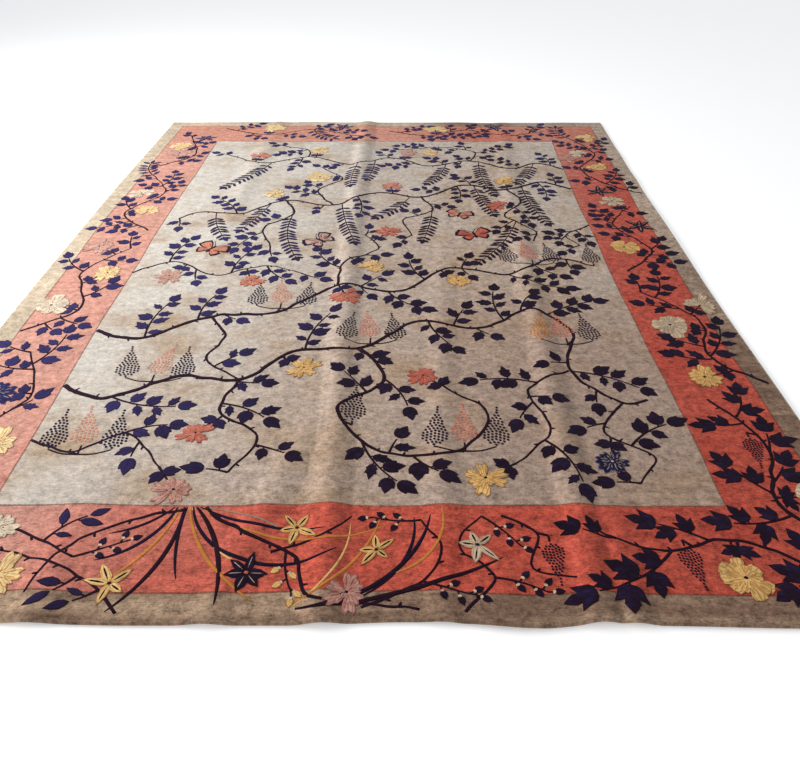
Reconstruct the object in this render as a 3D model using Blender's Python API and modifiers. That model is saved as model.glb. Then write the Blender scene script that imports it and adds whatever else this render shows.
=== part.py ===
"""A hand-knotted wool pile rug of room size, lying on a floor with the soft creases of its folding."""

import math
from collections import namedtuple

import bpy

# Driving dimensions, in metres. X runs across the rug, +Y runs away from its near end, +Z is up.
WIDTH = 2.74
LENGTH = 3.66
THICKNESS = 0.012
EDGE_ROUND = 0.004
EDGE_STEPS = 2
EDGE_SHARPER_THAN = math.radians(60)

# How finely the cloth is divided. The creases run lengthwise, so it needs more columns than rows.
COLUMNS = 96
ROWS = 24

# A hand-made rug isn't square. The whole cloth sways sideways along its length.
SWAY_FAR = 0.030
SWAY_MIDDLE = -0.012

# Each drift pushes a short stretch of one end along the rug; it dies out within DRIFT_REACH of that end.
DRIFT_REACH = 0.45
Drift = namedtuple("Drift", "name end x half_width push")
DRIFTS = (
    Drift("near, left of the middle", -1, -0.82, 0.30, 0.006),
    Drift("near, drawn in", -1, 0.12, 0.26, 0.009),
    Drift("near, let out", -1, 0.41, 0.17, -0.009),
    Drift("near, drawn in by the buckle", -1, 0.60, 0.14, 0.004),
    Drift("near, right corner", -1, 1.10, 0.45, -0.008),
    Drift("far, left", 1, -0.60, 0.55, 0.006),
    Drift("far, right", 1, 0.75, 0.45, -0.005),
)

# A crease is a soft ridge that runs lengthwise, from x_near at the near end towards x_far at the far end.
# It stands its full height up to y_full, and is down to nothing at y_gone. Its width is from foot to foot.
Crease = namedtuple("Crease", "name x_near x_far y_full y_gone width height")
CREASES = (
    Crease("centre fold", -0.077, -0.125, -1.83, 9.00, 0.150, 0.0110),
    Crease("right fold", 0.585, 0.728, -1.40, 3.20, 0.140, 0.0100),
    Crease("buckle beside the right fold", 0.665, 0.900, -1.83, -1.25, 0.120, 0.0080),
    Crease("inner right fold", 0.213, 0.390, -1.10, 0.60, 0.140, 0.0060),
    Crease("slanting left fold", -0.350, 0.640, -1.60, -0.70, 0.150, 0.0070),
    Crease("outer left fold", -0.735, -0.690, 0.90, -0.60, 0.170, 0.0050),
    Crease("left end wave", -0.760, -0.760, -1.83, -1.10, 0.170, 0.0050),
    Crease("front edge wave", 0.345, 0.345, -1.83, -1.50, 0.280, 0.0070),
)

# A cross crease runs from side to side, where the rug was folded over its length.
CrossCrease = namedtuple("CrossCrease", "name y x_from x_to width height")
CROSS_CREASES = (
    CrossCrease("upper cross fold", 0.850, 0.95, 1.60, 0.34, 0.0060),
    CrossCrease("far cross fold", 1.230, 0.95, 1.60, 0.34, 0.0045),
)

# The right side doesn't quite lie down between the cross fold and the middle of the rug.
SIDE_LIFT = 0.006
SIDE_LIFT_CENTRE = 0.27
SIDE_LIFT_HALF_LENGTH = 0.62
SIDE_LIFT_REACH = 0.16

WOOL_COLOUR = (0.44, 0.38, 0.30, 1.0)
WOOL_ROUGHNESS = 0.95


def bump(distance, half_width):
    """A smooth hump: 1 at no distance, and exactly 0 from half_width on."""
    if abs(distance) >= half_width:
        return 0.0
    return 0.5 + 0.5 * math.cos(math.pi * distance / half_width)


def fade(value, full, gone):
    """Falls smoothly from 1 at full to 0 at gone, whichever of them is the larger."""
    share = min(1.0, max(0.0, (value - full) / (gone - full)))
    return 1.0 - share * share * (3.0 - 2.0 * share)


def lift(x, y):
    """How high the underside stands off the floor at a point of the flat rug."""
    along = y / LENGTH + 0.5
    height = 0.0
    for crease in CREASES:
        middle = crease.x_near + (crease.x_far - crease.x_near) * along
        rise = crease.height * fade(y, crease.y_full, crease.y_gone)
        height = max(height, rise * bump(x - middle, crease.width / 2))
    for crease in CROSS_CREASES:
        rise = crease.height * (1.0 - fade(x, crease.x_from, crease.x_to))
        height = max(height, rise * bump(y - crease.y, crease.width / 2))
    side = SIDE_LIFT * bump(y - SIDE_LIFT_CENTRE, SIDE_LIFT_HALF_LENGTH)
    return max(height, side * bump(WIDTH / 2 - x, SIDE_LIFT_REACH))


def sway(y):
    """How far the cloth has drifted sideways at a distance along it."""
    along = y / LENGTH + 0.5
    return SWAY_FAR * along**3 + SWAY_MIDDLE * math.sin(math.pi * along)


def drift(x, y):
    """How far a point near either end has drifted along the rug."""
    total = 0.0
    for row in DRIFTS:
        strength = fade(LENGTH / 2 - row.end * y, 0.0, DRIFT_REACH)
        total += row.push * strength * bump(x - row.x, row.half_width)
    return total


def lay_out(cloth):
    """Gives the flat grid its uneven outline and its creases."""
    for vertex in cloth.data.vertices:
        x, y = vertex.co.x, vertex.co.y
        vertex.co = (x + sway(y), y + drift(x, y), lift(x, y))


def centre_on_origin(cloth):
    """Puts the middle of the rug's outline on the origin, with its underside on the floor."""
    xs = [vertex.co.x for vertex in cloth.data.vertices]
    ys = [vertex.co.y for vertex in cloth.data.vertices]
    shift_x = (min(xs) + max(xs)) / 2
    shift_y = (min(ys) + max(ys)) / 2
    for vertex in cloth.data.vertices:
        vertex.co.x -= shift_x
        vertex.co.y -= shift_y


def wool():
    """Undyed wool pile."""
    material = bpy.data.materials.new("wool_pile")
    material.use_nodes = True
    shader = material.node_tree.nodes["Principled BSDF"]
    shader.inputs["Base Color"].default_value = WOOL_COLOUR
    shader.inputs["Roughness"].default_value = WOOL_ROUGHNESS
    shader.inputs["Metallic"].default_value = 0.0
    return material


def make_rug(collection):
    """The rug: one sheet of knotted pile, with its outline, its creases and its rounded edge."""
    bpy.ops.mesh.primitive_grid_add(x_subdivisions=COLUMNS, y_subdivisions=ROWS, size=1.0)
    rug = bpy.context.active_object
    rug.name = "rug"
    rug.scale = (WIDTH, LENGTH, 1.0)
    bpy.ops.object.transform_apply(location=False, rotation=False, scale=True)
    lay_out(rug)
    centre_on_origin(rug)

    pile = rug.modifiers.new("pile", "SOLIDIFY")
    pile.thickness = THICKNESS
    pile.offset = 1.0

    edge = rug.modifiers.new("edge", "BEVEL")
    edge.width = EDGE_ROUND
    edge.segments = EDGE_STEPS
    edge.limit_method = "ANGLE"
    edge.angle_limit = EDGE_SHARPER_THAN

    rug.data.materials.append(wool())
    for other in rug.users_collection:
        other.objects.unlink(rug)
    collection.objects.link(rug)
    return rug


def main():
    for thing in list(bpy.data.objects):
        bpy.data.objects.remove(thing, do_unlink=True)
    collection = bpy.data.collections.new("flowering_branch_rug")
    bpy.context.scene.collection.children.link(collection)
    make_rug(collection)


main()
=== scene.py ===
"""A room-size pile rug with flowering boughs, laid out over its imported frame.

The rug is one knotted cloth that lies on the floor with the soft creases of its folding. Its ground has a
plain field, a wide coral border and a narrow outer band. The boughs, leaves, blossoms, fronds and
butterflies are clipped a little higher than the ground, so each of them is low relief that follows the
creases of the cloth. Lengths are metres. On the flat cloth, x runs across it and y away from its near end.
"""

import logging
import math
import random
from dataclasses import dataclass, field
from enum import Enum
from typing import Any, NamedTuple

import bpy
import numpy as np
from bpy.types import Material, Object
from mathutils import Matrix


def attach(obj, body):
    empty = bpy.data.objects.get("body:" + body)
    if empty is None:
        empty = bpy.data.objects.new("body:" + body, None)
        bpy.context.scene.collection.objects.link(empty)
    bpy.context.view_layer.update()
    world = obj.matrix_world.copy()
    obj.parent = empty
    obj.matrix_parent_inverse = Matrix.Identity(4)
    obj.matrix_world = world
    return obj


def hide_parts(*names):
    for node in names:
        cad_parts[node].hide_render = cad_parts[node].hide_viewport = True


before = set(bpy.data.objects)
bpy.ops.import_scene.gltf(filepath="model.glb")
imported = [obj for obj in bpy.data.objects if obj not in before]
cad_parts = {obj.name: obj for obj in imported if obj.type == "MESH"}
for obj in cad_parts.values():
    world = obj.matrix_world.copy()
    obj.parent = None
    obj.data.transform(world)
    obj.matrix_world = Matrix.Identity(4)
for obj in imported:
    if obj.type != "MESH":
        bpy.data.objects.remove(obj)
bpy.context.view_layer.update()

log = logging.getLogger("rug")

BODY = "root"
NODE = "rug"

Point = tuple[float, float]
Triple = tuple[float, float, float]
ScreenColour = tuple[int, int, int]

# How far apart the points of a drawn line are.
STEP = 0.014


def linear(colour: ScreenColour) -> Triple:
    """Turns a colour read off a screen, each part from 0 to 255, into a shader's linear colour."""
    shares = [value / 255 for value in colour]
    return tuple(share / 12.92 if share <= 0.04045 else ((share + 0.055) / 1.055) ** 2.4 for share in shares)


def deselect() -> None:
    """Leaves nothing selected, so that an operator acts on the new piece alone."""
    if bpy.context.object and bpy.context.object.mode != "OBJECT":
        bpy.ops.object.mode_set(mode="OBJECT")
    bpy.ops.object.select_all(action="DESELECT")


def humped(distance: np.ndarray, half_width: float) -> np.ndarray:
    """A smooth hump: 1 at no distance, and 0 from half_width on."""
    share = np.clip(np.abs(distance) / half_width, 0.0, 1.0)
    return 0.5 + 0.5 * np.cos(math.pi * share)


def faded(value: np.ndarray, full: float, gone: float) -> np.ndarray:
    """Falls smoothly from 1 at full to 0 at gone, whichever of them is the larger."""
    share = np.clip((value - full) / (gone - full), 0.0, 1.0)
    return 1.0 - share * share * (3.0 - 2.0 * share)


class Crease(NamedTuple):
    """A soft lengthwise ridge, full up to y_full and gone at y_gone."""

    name: str
    x_near: float
    x_far: float
    y_full: float
    y_gone: float
    width: float
    height: float


class CrossCrease(NamedTuple):
    """A soft ridge from side to side, which grows from x_from to x_to."""

    name: str
    y: float
    x_from: float
    x_to: float
    width: float
    height: float


class Drift(NamedTuple):
    """A short stretch of one end that is pushed along the rug."""

    name: str
    end: int
    x: float
    half_width: float
    push: float


class Wave(NamedTuple):
    """A slow wave in the height of the clipped pile: how fast it turns each way, and where it starts."""

    across: float
    along: float
    start: float


@dataclass
class Lie:
    """How the cloth lies on the floor: its outline, its creases and its height at each place."""

    width: float = 2.74
    length: float = 3.66
    thickness: float = 0.012
    sway_far: float = 0.030
    sway_middle: float = -0.012
    drift_reach: float = 0.45
    side_lift: float = 0.006
    side_lift_centre: float = 0.27
    side_lift_half_length: float = 0.62
    side_lift_reach: float = 0.16
    unevenness: float = 0.0006
    waves: tuple[Wave, ...] = (Wave(9.1, 2.3, 0.0), Wave(14.3, -6.7, 1.0), Wave(-19.7, 5.3, 2.0))
    slope_step: float = 0.004
    outline_points: int = 97
    creases: tuple[Crease, ...] = (
        Crease("centre fold", -0.077, -0.125, -1.83, 9.00, 0.150, 0.0110),
        Crease("right fold", 0.585, 0.728, -1.40, 3.20, 0.140, 0.0100),
        Crease("buckle beside the right fold", 0.665, 0.900, -1.83, -1.25, 0.120, 0.0080),
        Crease("inner right fold", 0.213, 0.390, -1.10, 0.60, 0.140, 0.0060),
        Crease("slanting left fold", -0.350, 0.640, -1.60, -0.70, 0.150, 0.0070),
        Crease("outer left fold", -0.735, -0.690, 0.90, -0.60, 0.170, 0.0050),
        Crease("left end wave", -0.760, -0.760, -1.83, -1.10, 0.170, 0.0050),
        Crease("front edge wave", 0.345, 0.345, -1.83, -1.50, 0.280, 0.0070),
    )
    cross_creases: tuple[CrossCrease, ...] = (
        CrossCrease("upper cross fold", 0.850, 0.95, 1.60, 0.34, 0.0060),
        CrossCrease("far cross fold", 1.230, 0.95, 1.60, 0.34, 0.0045),
    )
    drifts: tuple[Drift, ...] = (
        Drift("near, left of the middle", -1, -0.82, 0.30, 0.006),
        Drift("near, drawn in", -1, 0.12, 0.26, 0.009),
        Drift("near, let out", -1, 0.41, 0.17, -0.009),
        Drift("near, drawn in by the buckle", -1, 0.60, 0.14, 0.004),
        Drift("near, right corner", -1, 1.10, 0.45, -0.008),
        Drift("far, left", 1, -0.60, 0.55, 0.006),
        Drift("far, right", 1, 0.75, 0.45, -0.005),
    )
    shift: Point = (0.0, 0.0)

    def __post_init__(self) -> None:
        """Finds the shift that puts the middle of the outline on the origin."""
        run = np.linspace(-0.5, 0.5, self.outline_points)
        across, along = np.meshgrid(run * self.width, run * self.length)
        spots = self.place(across.ravel(), along.ravel(), 0.0)
        middle = (spots.min(0) + spots.max(0)) / 2
        self.shift = (-middle[0], -middle[1])

    def lift(self, x: np.ndarray, y: np.ndarray) -> np.ndarray:
        """How high the underside stands off the floor at points of the flat rug."""
        along = y / self.length + 0.5
        height = np.zeros_like(x)
        for crease in self.creases:
            middle = crease.x_near + (crease.x_far - crease.x_near) * along
            rise = crease.height * faded(y, crease.y_full, crease.y_gone)
            height = np.maximum(height, rise * humped(x - middle, crease.width / 2))
        for crease in self.cross_creases:
            rise = crease.height * (1.0 - faded(x, crease.x_from, crease.x_to))
            height = np.maximum(height, rise * humped(y - crease.y, crease.width / 2))
        side = self.side_lift * humped(y - self.side_lift_centre, self.side_lift_half_length)
        return np.maximum(height, side * humped(self.width / 2 - x, self.side_lift_reach))

    def waver(self, x: np.ndarray, y: np.ndarray) -> np.ndarray:
        """The slight unevenness of the clipped pile, a sum of slow waves."""
        heights = [np.sin(wave.across * x + wave.along * y + wave.start) for wave in self.waves]
        return self.unevenness * sum(heights)

    def slope(self, x: np.ndarray, y: np.ndarray) -> np.ndarray:
        """How steeply the cloth climbs towards +x. It paints light and shade into the ground's colour:
        lighter on a crease's left flank, which faces the lamp, and darker on its right flank.
        """
        step = self.slope_step
        return (self.lift(x + step, y) - self.lift(x - step, y)) / (2 * step)

    def place(self, x: np.ndarray, y: np.ndarray, above: np.ndarray | float) -> np.ndarray:
        """Lays points of the flat rug out on the floor.

        Args:
            x: Places across the flat rug.
            y: Places along it.
            above: Height above the underside.

        Returns:
            One row of x, y and z for each point.
        """
        along = y / self.length + 0.5
        sway = self.sway_far * along**3 + self.sway_middle * np.sin(math.pi * along)
        drift = np.zeros_like(x)
        for row in self.drifts:
            strength = faded(self.length / 2 - row.end * y, 0.0, self.drift_reach)
            drift = drift + row.push * strength * humped(x - row.x, row.half_width)
        places = (x + sway + self.shift[0], y + drift + self.shift[1], self.lift(x, y) + above)
        return np.stack(places, axis=1)

    def on_pile(self, x: np.ndarray, y: np.ndarray, above: np.ndarray | float) -> np.ndarray:
        """Lays points out as place does, but measured from the top of the pile."""
        return self.place(x, y, self.thickness + self.waver(x, y) + above)


class Cells(NamedTuple):
    """The size of a soft noise: its cells to the metre each way, and how much fine detail it has."""

    across: float
    along: float
    detail: float = 2.0
    roughness: float = 0.5


class Signal:
    """A value that varies over the wool: one output socket, written in sums."""

    LINE_CORE = 0.55

    def __init__(self, bench: "Bench", socket: bpy.types.NodeSocket) -> None:
        """Wraps a socket of the bench's node tree."""
        self.bench = bench
        self.socket = socket

    def maths(self, operation: str, *values: Any) -> "Signal":
        """Adds one Math node that works on the given values."""
        return self.bench.node("ShaderNodeMath", {"operation": operation}, dict(enumerate(values)))

    def __add__(self, other: Any) -> "Signal":
        """The sum."""
        return self.maths("ADD", self, other)

    __radd__ = __add__

    def __sub__(self, other: Any) -> "Signal":
        """The difference."""
        return self.maths("SUBTRACT", self, other)

    def __rsub__(self, other: Any) -> "Signal":
        """The difference, the other way round."""
        return self.maths("SUBTRACT", other, self)

    def __mul__(self, other: Any) -> "Signal":
        """The product."""
        return self.maths("MULTIPLY", self, other)

    __rmul__ = __mul__

    def __abs__(self) -> "Signal":
        """The size without the sign."""
        return self.maths("ABSOLUTE", self)

    def least(self, other: Any) -> "Signal":
        """The smaller of the two."""
        return self.maths("MINIMUM", self, other)

    def rise(self, low: float, high: float) -> "Signal":
        """Climbs smoothly from 0 at low to 1 at high, whichever of them is the larger."""
        ends = {0: self, 1: low, 2: high, 3: 0.0, 4: 1.0}
        return self.bench.node("ShaderNodeMapRange", {"interpolation_type": "SMOOTHSTEP"}, ends)

    def near(self, centre: float, half_width: float) -> "Signal":
        """1 at the centre of a line, falling to 0 at half_width from it."""
        return 1.0 - abs(self - centre).rise(half_width * self.LINE_CORE, half_width)


class Bench:
    """The node tree of one finish, with the few nodes that all the finishes share."""

    FLAT = "flat"
    CHART = "chart"
    NOISE_GAIN = 4.0
    KNOT_STRAY = 0.55

    def __init__(self, name: str) -> None:
        """Starts a material of that name."""
        self.material = bpy.data.materials.new(name)
        self.material.use_nodes = True
        self.tree = self.material.node_tree
        self.shader = self.tree.nodes["Principled BSDF"]

    def node(self, kind: str, settings: dict[str, Any] | None = None,
             inputs: dict[int | str, Any] | None = None, output: int = 0) -> Signal:
        """Adds a node.

        Args:
            kind: Its type.
            settings: Its settings, which are set first.
            inputs: What goes into its sockets, each a value or a Signal.
            output: Which of its outputs is wanted.

        Returns:
            That output.
        """
        made = self.tree.nodes.new(kind)
        for name, value in (settings or {}).items():
            setattr(made, name, value)
        for key, value in (inputs or {}).items():
            if isinstance(value, Signal):
                self.tree.links.new(value.socket, made.inputs[key])
            else:
                made.inputs[key].default_value = value
        return Signal(self, made.outputs[output])

    def map(self, name: str) -> Signal:
        """One of the piece's own UV maps."""
        return self.node("ShaderNodeUVMap", {"uv_map": name})

    def attribute(self, name: str) -> Signal:
        """A number that the piece's points carry."""
        return self.node("ShaderNodeAttribute", {"attribute_name": name}, output=2)

    def split(self, vector: Signal) -> tuple[Signal, Signal]:
        """The first two parts of a vector."""
        parts = self.node("ShaderNodeSeparateXYZ", None, {0: vector})
        return parts, Signal(self, parts.socket.node.outputs[1])

    def stretched(self, vector: Signal, across: float, along: float) -> Signal:
        """The vector at that many cells to the metre each way."""
        cells = (across, along, 1.0)
        return self.node("ShaderNodeVectorMath", {"operation": "MULTIPLY"}, {0: vector, 1: cells})

    def noise(self, vector: Signal, cells: Cells) -> Signal:
        """Soft noise around 0, mostly from -1 to 1."""
        ends = {"Vector": self.stretched(vector, cells.across, cells.along), "Scale": 1.0,
                "Detail": cells.detail, "Roughness": cells.roughness}
        return (self.node("ShaderNodeTexNoise", None, ends) - 0.5) * self.NOISE_GAIN

    def knots(self, vector: Signal, pitch: float) -> Signal:
        """How far a point is from the middle of its knot, from 0 to about 1."""
        spot = self.stretched(vector, 1.0 / pitch, 1.0 / pitch)
        ends = {"Vector": spot, "Scale": 1.0, "Randomness": self.KNOT_STRAY}
        return self.node("ShaderNodeTexVoronoi", None, ends)

    def blend(self, share: Signal | float, first: Any, second: Any) -> Signal:
        """Mixes two colours."""
        ends = {0: share, 6: self.opaque(first), 7: self.opaque(second)}
        return self.node("ShaderNodeMix", {"data_type": "RGBA"}, ends, output=2)

    def brightened(self, colour: Signal, gain: Signal) -> Signal:
        """The colour times a number."""
        triple = self.node("ShaderNodeCombineXYZ", None, {0: gain, 1: gain, 2: gain})
        return self.node("ShaderNodeVectorMath", {"operation": "MULTIPLY"}, {0: colour, 1: triple})

    @staticmethod
    def opaque(colour: Any) -> Any:
        """A screen's colour made linear, with its alpha, and a Signal as it is."""
        return colour if isinstance(colour, Signal) else (*linear(colour), 1.0)

    def connect(self, socket: str, signal: Signal) -> None:
        """Feeds one socket of the wool's shader."""
        self.tree.links.new(signal.socket, self.shader.inputs[socket])


class Patch(NamedTuple):
    """A soft-edged part of the rug, and how much of a shade it has.

    Across and along, it begins at the first place and is full at the second. With none, it runs on that way.
    """

    share: float
    across: Point | None = None
    along: Point | None = None

    def on(self, x: Signal, y: Signal) -> Signal:
        """How much of the shade each spot has."""
        strength = self.share
        for place, span in ((x, self.across), (y, self.along)):
            if span:
                strength = strength * place.rise(*span)
        return strength


class Mottle(NamedTuple):
    """How unevenly a shade took: its level, and how far a slow noise and a streaky one move it."""

    level: float
    slow: float
    streaky: float

    def of(self, slow: Signal, streaky: Signal) -> Signal:
        """How much of the shade each spot has."""
        return self.level + self.slow * slow + self.streaky * streaky


@dataclass
class Wear:
    """What the ground's shades go by: the place, its paling (part bleaching and part painted light), its
    clouds and its bands of yarn.
    """

    x: Signal
    y: Signal
    fade: Signal
    clouds: Signal
    abrash: Signal


@dataclass(frozen=True)
class Pile:
    """The cut wool itself, which every dye shares: its knots, its weft lines and its dull sheen."""

    knot_pitch: float = 0.0034
    knot_middle: float = 0.35
    weft_cells: Cells = Cells(60.0, 250.0, 3.0)
    tuft_cells: Cells = Cells(30.0, 36.0, 5.0, 0.92)
    weft_depth: float = 0.16
    tuft_depth: float = 0.60
    knot_depth: float = 0.16
    weft_height: float = 0.4
    tuft_height: float = 0.8
    knot_height: float = 1.2
    relief: float = 0.0011
    bump: float = 0.55
    roughness: float = 0.92
    roughness_drift: float = 0.05
    sheen: float = 0.06
    sheen_roughness: float = 0.45
    specular: float = 0.04
    # The paling of the wool, partly bleaching and partly painted light: paler to the left and at the far end,
    # where the lamp on the left lights and glares, and on the right side.
    paling: float = 0.42
    paling_left: float = 0.62
    paling_far: float = 0.27
    paling_right: Patch = Patch(0.42, (0.55, 0.95))
    paling_drift: float = 0.10
    paling_cells: Cells = Cells(1.3, 1.1)

    def fade(self, bench: Bench, flat: Signal) -> Signal:
        """How pale each spot is, from 0 to 1: most to the left and at the far end. This is partly bleaching
        and partly painted light, from the lamp on the left and its glare at the far end.
        """
        x, y = bench.split(flat)
        share = self.paling - self.paling_left * x + self.paling_far * y + self.paling_right.on(x, y)
        return (share + self.paling_drift * bench.noise(flat, self.paling_cells)).rise(0.0, 1.0)

    def gain(self, bench: Bench, flat: Signal) -> tuple[Signal, Signal]:
        """How light each spot of the pile is, and how high it stands.

        Args:
            bench: The finish's node tree.
            flat: Places on the flat rug, in metres.

        Returns:
            A brightness around 1, and a height around 0.
        """
        weft = bench.noise(flat, self.weft_cells)
        tufts = bench.noise(flat, self.tuft_cells)
        knots = bench.knots(flat, self.knot_pitch)
        shadow = self.knot_depth * (knots - self.knot_middle)
        gain = 1.0 + self.weft_depth * weft + self.tuft_depth * tufts - shadow
        return gain, self.weft_height * weft + self.tuft_height * tufts - self.knot_height * knots

    def finish(self, bench: Bench, colour: Signal, height: Signal) -> Material:
        """Puts the colour and the relief on the shader, with the wool's own sheen."""
        bench.connect("Base Color", colour)
        ends = {"Strength": self.bump, "Distance": self.relief, "Height": height}
        bench.connect("Normal", bench.node("ShaderNodeBump", None, ends))
        bench.connect("Roughness", self.roughness + self.roughness_drift * height)
        bench.shader.inputs["Sheen Weight"].default_value = self.sheen
        bench.shader.inputs["Sheen Roughness"].default_value = self.sheen_roughness
        bench.shader.inputs["Specular IOR Level"].default_value = self.specular
        return bench.material


@dataclass(frozen=True)
class GroundFinish:
    """The undecorated wool of the rug: field, coral border, outer band, and the lines between them."""

    band: float = 0.083
    border: float = 0.283
    line: float = 0.0032
    line_blur: float = 0.0008
    line_wander: float = 0.007
    side_wander: Cells = Cells(0.7, 1.7, 1.0)
    end_wander: Cells = Cells(1.9, 0.6, 1.0)
    ragged: float = 0.0009
    ragged_cells: Cells = Cells(260.0, 260.0, 0.0)
    stitch_span: Point = (0.005, 0.008)
    stitch_pitch: float = 0.006
    stitch_shade: float = 0.25
    stitch_light: float = 0.35

    field_light: ScreenColour = (203, 197, 188)
    field_dark: ScreenColour = (181, 161, 146)
    field_warm: ScreenColour = (152, 126, 98)
    field_darker: ScreenColour = (148, 121, 106)
    coral_paled: ScreenColour = (199, 147, 132)
    coral_deep: ScreenColour = (184, 82, 66)
    coral_far: ScreenColour = (188, 112, 80)
    coral_brick: ScreenColour = (150, 56, 45)
    band_light: ScreenColour = (162, 137, 114)
    band_dark: ScreenColour = (126, 100, 83)
    band_pale: ScreenColour = (196, 182, 160)
    band_greige: ScreenColour = (178, 158, 140)
    field_line: ScreenColour = (112, 74, 62)
    band_line: ScreenColour = (104, 56, 46)
    selvedge: ScreenColour = (196, 182, 158)

    clouds: Cells = Cells(3.6, 4.6, 4.0)
    abrash: Cells = Cells(1.6, 26.0, 3.0)
    warmth: Mottle = Mottle(0.35, 0.85, 0.25)
    warmth_full: float = 1.2
    warmth_share: float = 0.8
    # Darker patches in the field: right of the middle toward the near end, and more faintly along the middle.
    darker_right: Patch = Patch(0.50, (0.05, 0.50), (-0.1, -0.7))
    darker_middle: Patch = Patch(0.175, (0.5, 0.0))
    # A paler near-left corner of the coral, partly bleaching and partly painted light from the lamp on the
    # left.
    paling_corner: Patch = Patch(0.16, (0.2, -0.4), (-1.2, -1.6))
    brick: Mottle = Mottle(0.2, 1.0, 0.6)
    brick_span: Point = (0.2, 1.6)
    brick_share: float = 0.62
    # The patches deepen the coral as painted shade: to the right, away from the lamp, and in the near border
    # right of the middle, between the folds. Toward the far end, where light is painted on, they thin it.
    brick_patches: tuple[Patch, ...] = (
        Patch(-0.3, None, (0.2, 1.6)), Patch(0.4, (0.3, 1.2)), Patch(0.3, (0.0, 0.5), (-1.0, -1.7)))
    coral_far_end: Patch = Patch(0.32, None, (1.2, 1.7))
    band_mottle: Mottle = Mottle(0.38, 0.4, 0.4)
    # With the drift and the first patch, the band is painted darker to the right and lighter to the left, as
    # the light and shade of the lamp on the left.
    band_drift: float = 0.10
    band_patches: tuple[Patch, ...] = (Patch(0.24, (0.1, -0.8)), Patch(-0.22, (-0.4, 0.3), (-1.4, -1.8)))
    pale_from: float = 0.60
    pale_share: float = 0.8
    greige_side: Patch = Patch(0.9, (0.6, 1.3), (-0.9, 0.7))
    field_line_share: float = 0.75
    band_line_share: float = 0.70
    lightness: Mottle = Mottle(1.0, 0.13, 0.09)
    grain: float = 1.30
    paled_grain: float = 0.50
    coral_grain: float = 0.30
    pile: Pile = Pile()

    def dress(self, lie: Lie) -> Material:
        """Makes the ground's material.

        Args:
            lie: The cloth, for its width and length.

        Returns:
            The material.
        """
        bench = Bench("wool_ground")
        flat = bench.map(Bench.FLAT)
        x, y = bench.split(flat)
        wear = Wear(x, y, self.pile.fade(bench, flat), bench.noise(flat, self.clouds),
                    bench.noise(flat, self.abrash))
        inwards = self.inwards(bench, lie, flat, x, y)
        field_edge = self.band + self.border
        into_field = inwards.rise(field_edge - self.line_blur, field_edge + self.line_blur)
        into_coral = inwards.rise(self.band - self.line_blur, self.band + self.line_blur)
        colour = bench.blend(into_coral, self.band_wool(bench, wear), self.coral_wool(bench, wear))
        colour = bench.blend(into_field, colour, self.field_wool(bench, wear))
        field_line = self.field_line_share * inwards.near(field_edge, self.line)
        band_line = self.band_line_share * inwards.near(self.band, self.line)
        colour = bench.blend(field_line, colour, self.field_line)
        colour = bench.blend(band_line, colour, self.band_line)
        colour = self.overcast(bench, lie, x, y, colour)

        gain, height = self.pile.gain(bench, flat)
        # The grain shows less where the wool is paled, which is partly bleaching and partly painted glare.
        depth = self.grain - self.paled_grain * wear.fade + self.coral_grain * (1.0 - into_field)
        gain = 1.0 + (gain - 1.0) * depth
        # Painted light and shade on the creases: lighter on flanks that face the lamp on the left, darker on
        # flanks that face away.
        gain = gain * (self.lightness.of(wear.clouds, wear.abrash) + bench.attribute("slope"))
        return self.pile.finish(bench, bench.brightened(colour, gain), height)

    def inwards(self, bench: Bench, lie: Lie, flat: Signal, x: Signal, y: Signal) -> Signal:
        """How far each spot is in from the rug's edge, as a weaver's hand would keep it."""
        x_line = x + self.line_wander * bench.noise(flat, self.side_wander)
        y_line = y + self.line_wander * bench.noise(flat, self.end_wander)
        ragged = self.ragged * bench.noise(flat, self.ragged_cells)
        return (lie.width / 2 - abs(x_line)).least(lie.length / 2 - abs(y_line)) + ragged

    def field_wool(self, bench: Bench, wear: Wear) -> Signal:
        """The warm grey field: paler to the left and at the far end, partly bleaching and partly painted
        light, and darker right of the middle.
        """
        colour = bench.blend(wear.fade, self.field_dark, self.field_light)
        warmth = self.warmth.of(wear.clouds, wear.abrash).rise(0.0, self.warmth_full)
        colour = bench.blend(warmth * self.warmth_share, colour, self.field_warm)
        darker = self.darker_right.on(wear.x, wear.y) + self.darker_middle.on(abs(wear.x), wear.y)
        return bench.blend(darker, colour, self.field_darker)

    def coral_wool(self, bench: Bench, wear: Wear) -> Signal:
        """The coral border: paler to the left and at the far end, partly bleaching and partly painted light,
        with its bricky clouds, and deeper to the right as painted shade.
        """
        coral_paling = wear.fade + self.paling_corner.on(wear.x, wear.y)
        colour = bench.blend(coral_paling.rise(0.0, 1.0), self.coral_deep, self.coral_paled)
        brick = self.brick.of(wear.clouds, wear.abrash)
        for patch in self.brick_patches:
            brick = brick + patch.on(wear.x, wear.y)
        colour = bench.blend(brick.rise(*self.brick_span) * self.brick_share, colour, self.coral_brick)
        return bench.blend(self.coral_far_end.on(wear.x, wear.y), colour, self.coral_far)

    def band_wool(self, bench: Bench, wear: Wear) -> Signal:
        """The narrow greige band round the border. It is painted darker to the right and lighter to the left
        as the light and shade of the lamp on the left, and is paler where the wool is paled.
        """
        shade = self.band_mottle.of(wear.clouds, wear.abrash) - self.band_drift * wear.x
        for patch in self.band_patches:
            shade = shade + patch.on(wear.x, wear.y)
        colour = bench.blend(shade.rise(0.0, 1.0), self.band_dark, self.band_light)
        colour = bench.blend(wear.fade.rise(self.pale_from, 1.0) * self.pale_share, colour, self.band_pale)
        return bench.blend(self.greige_side.on(wear.x, wear.y), colour, self.band_greige)

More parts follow.
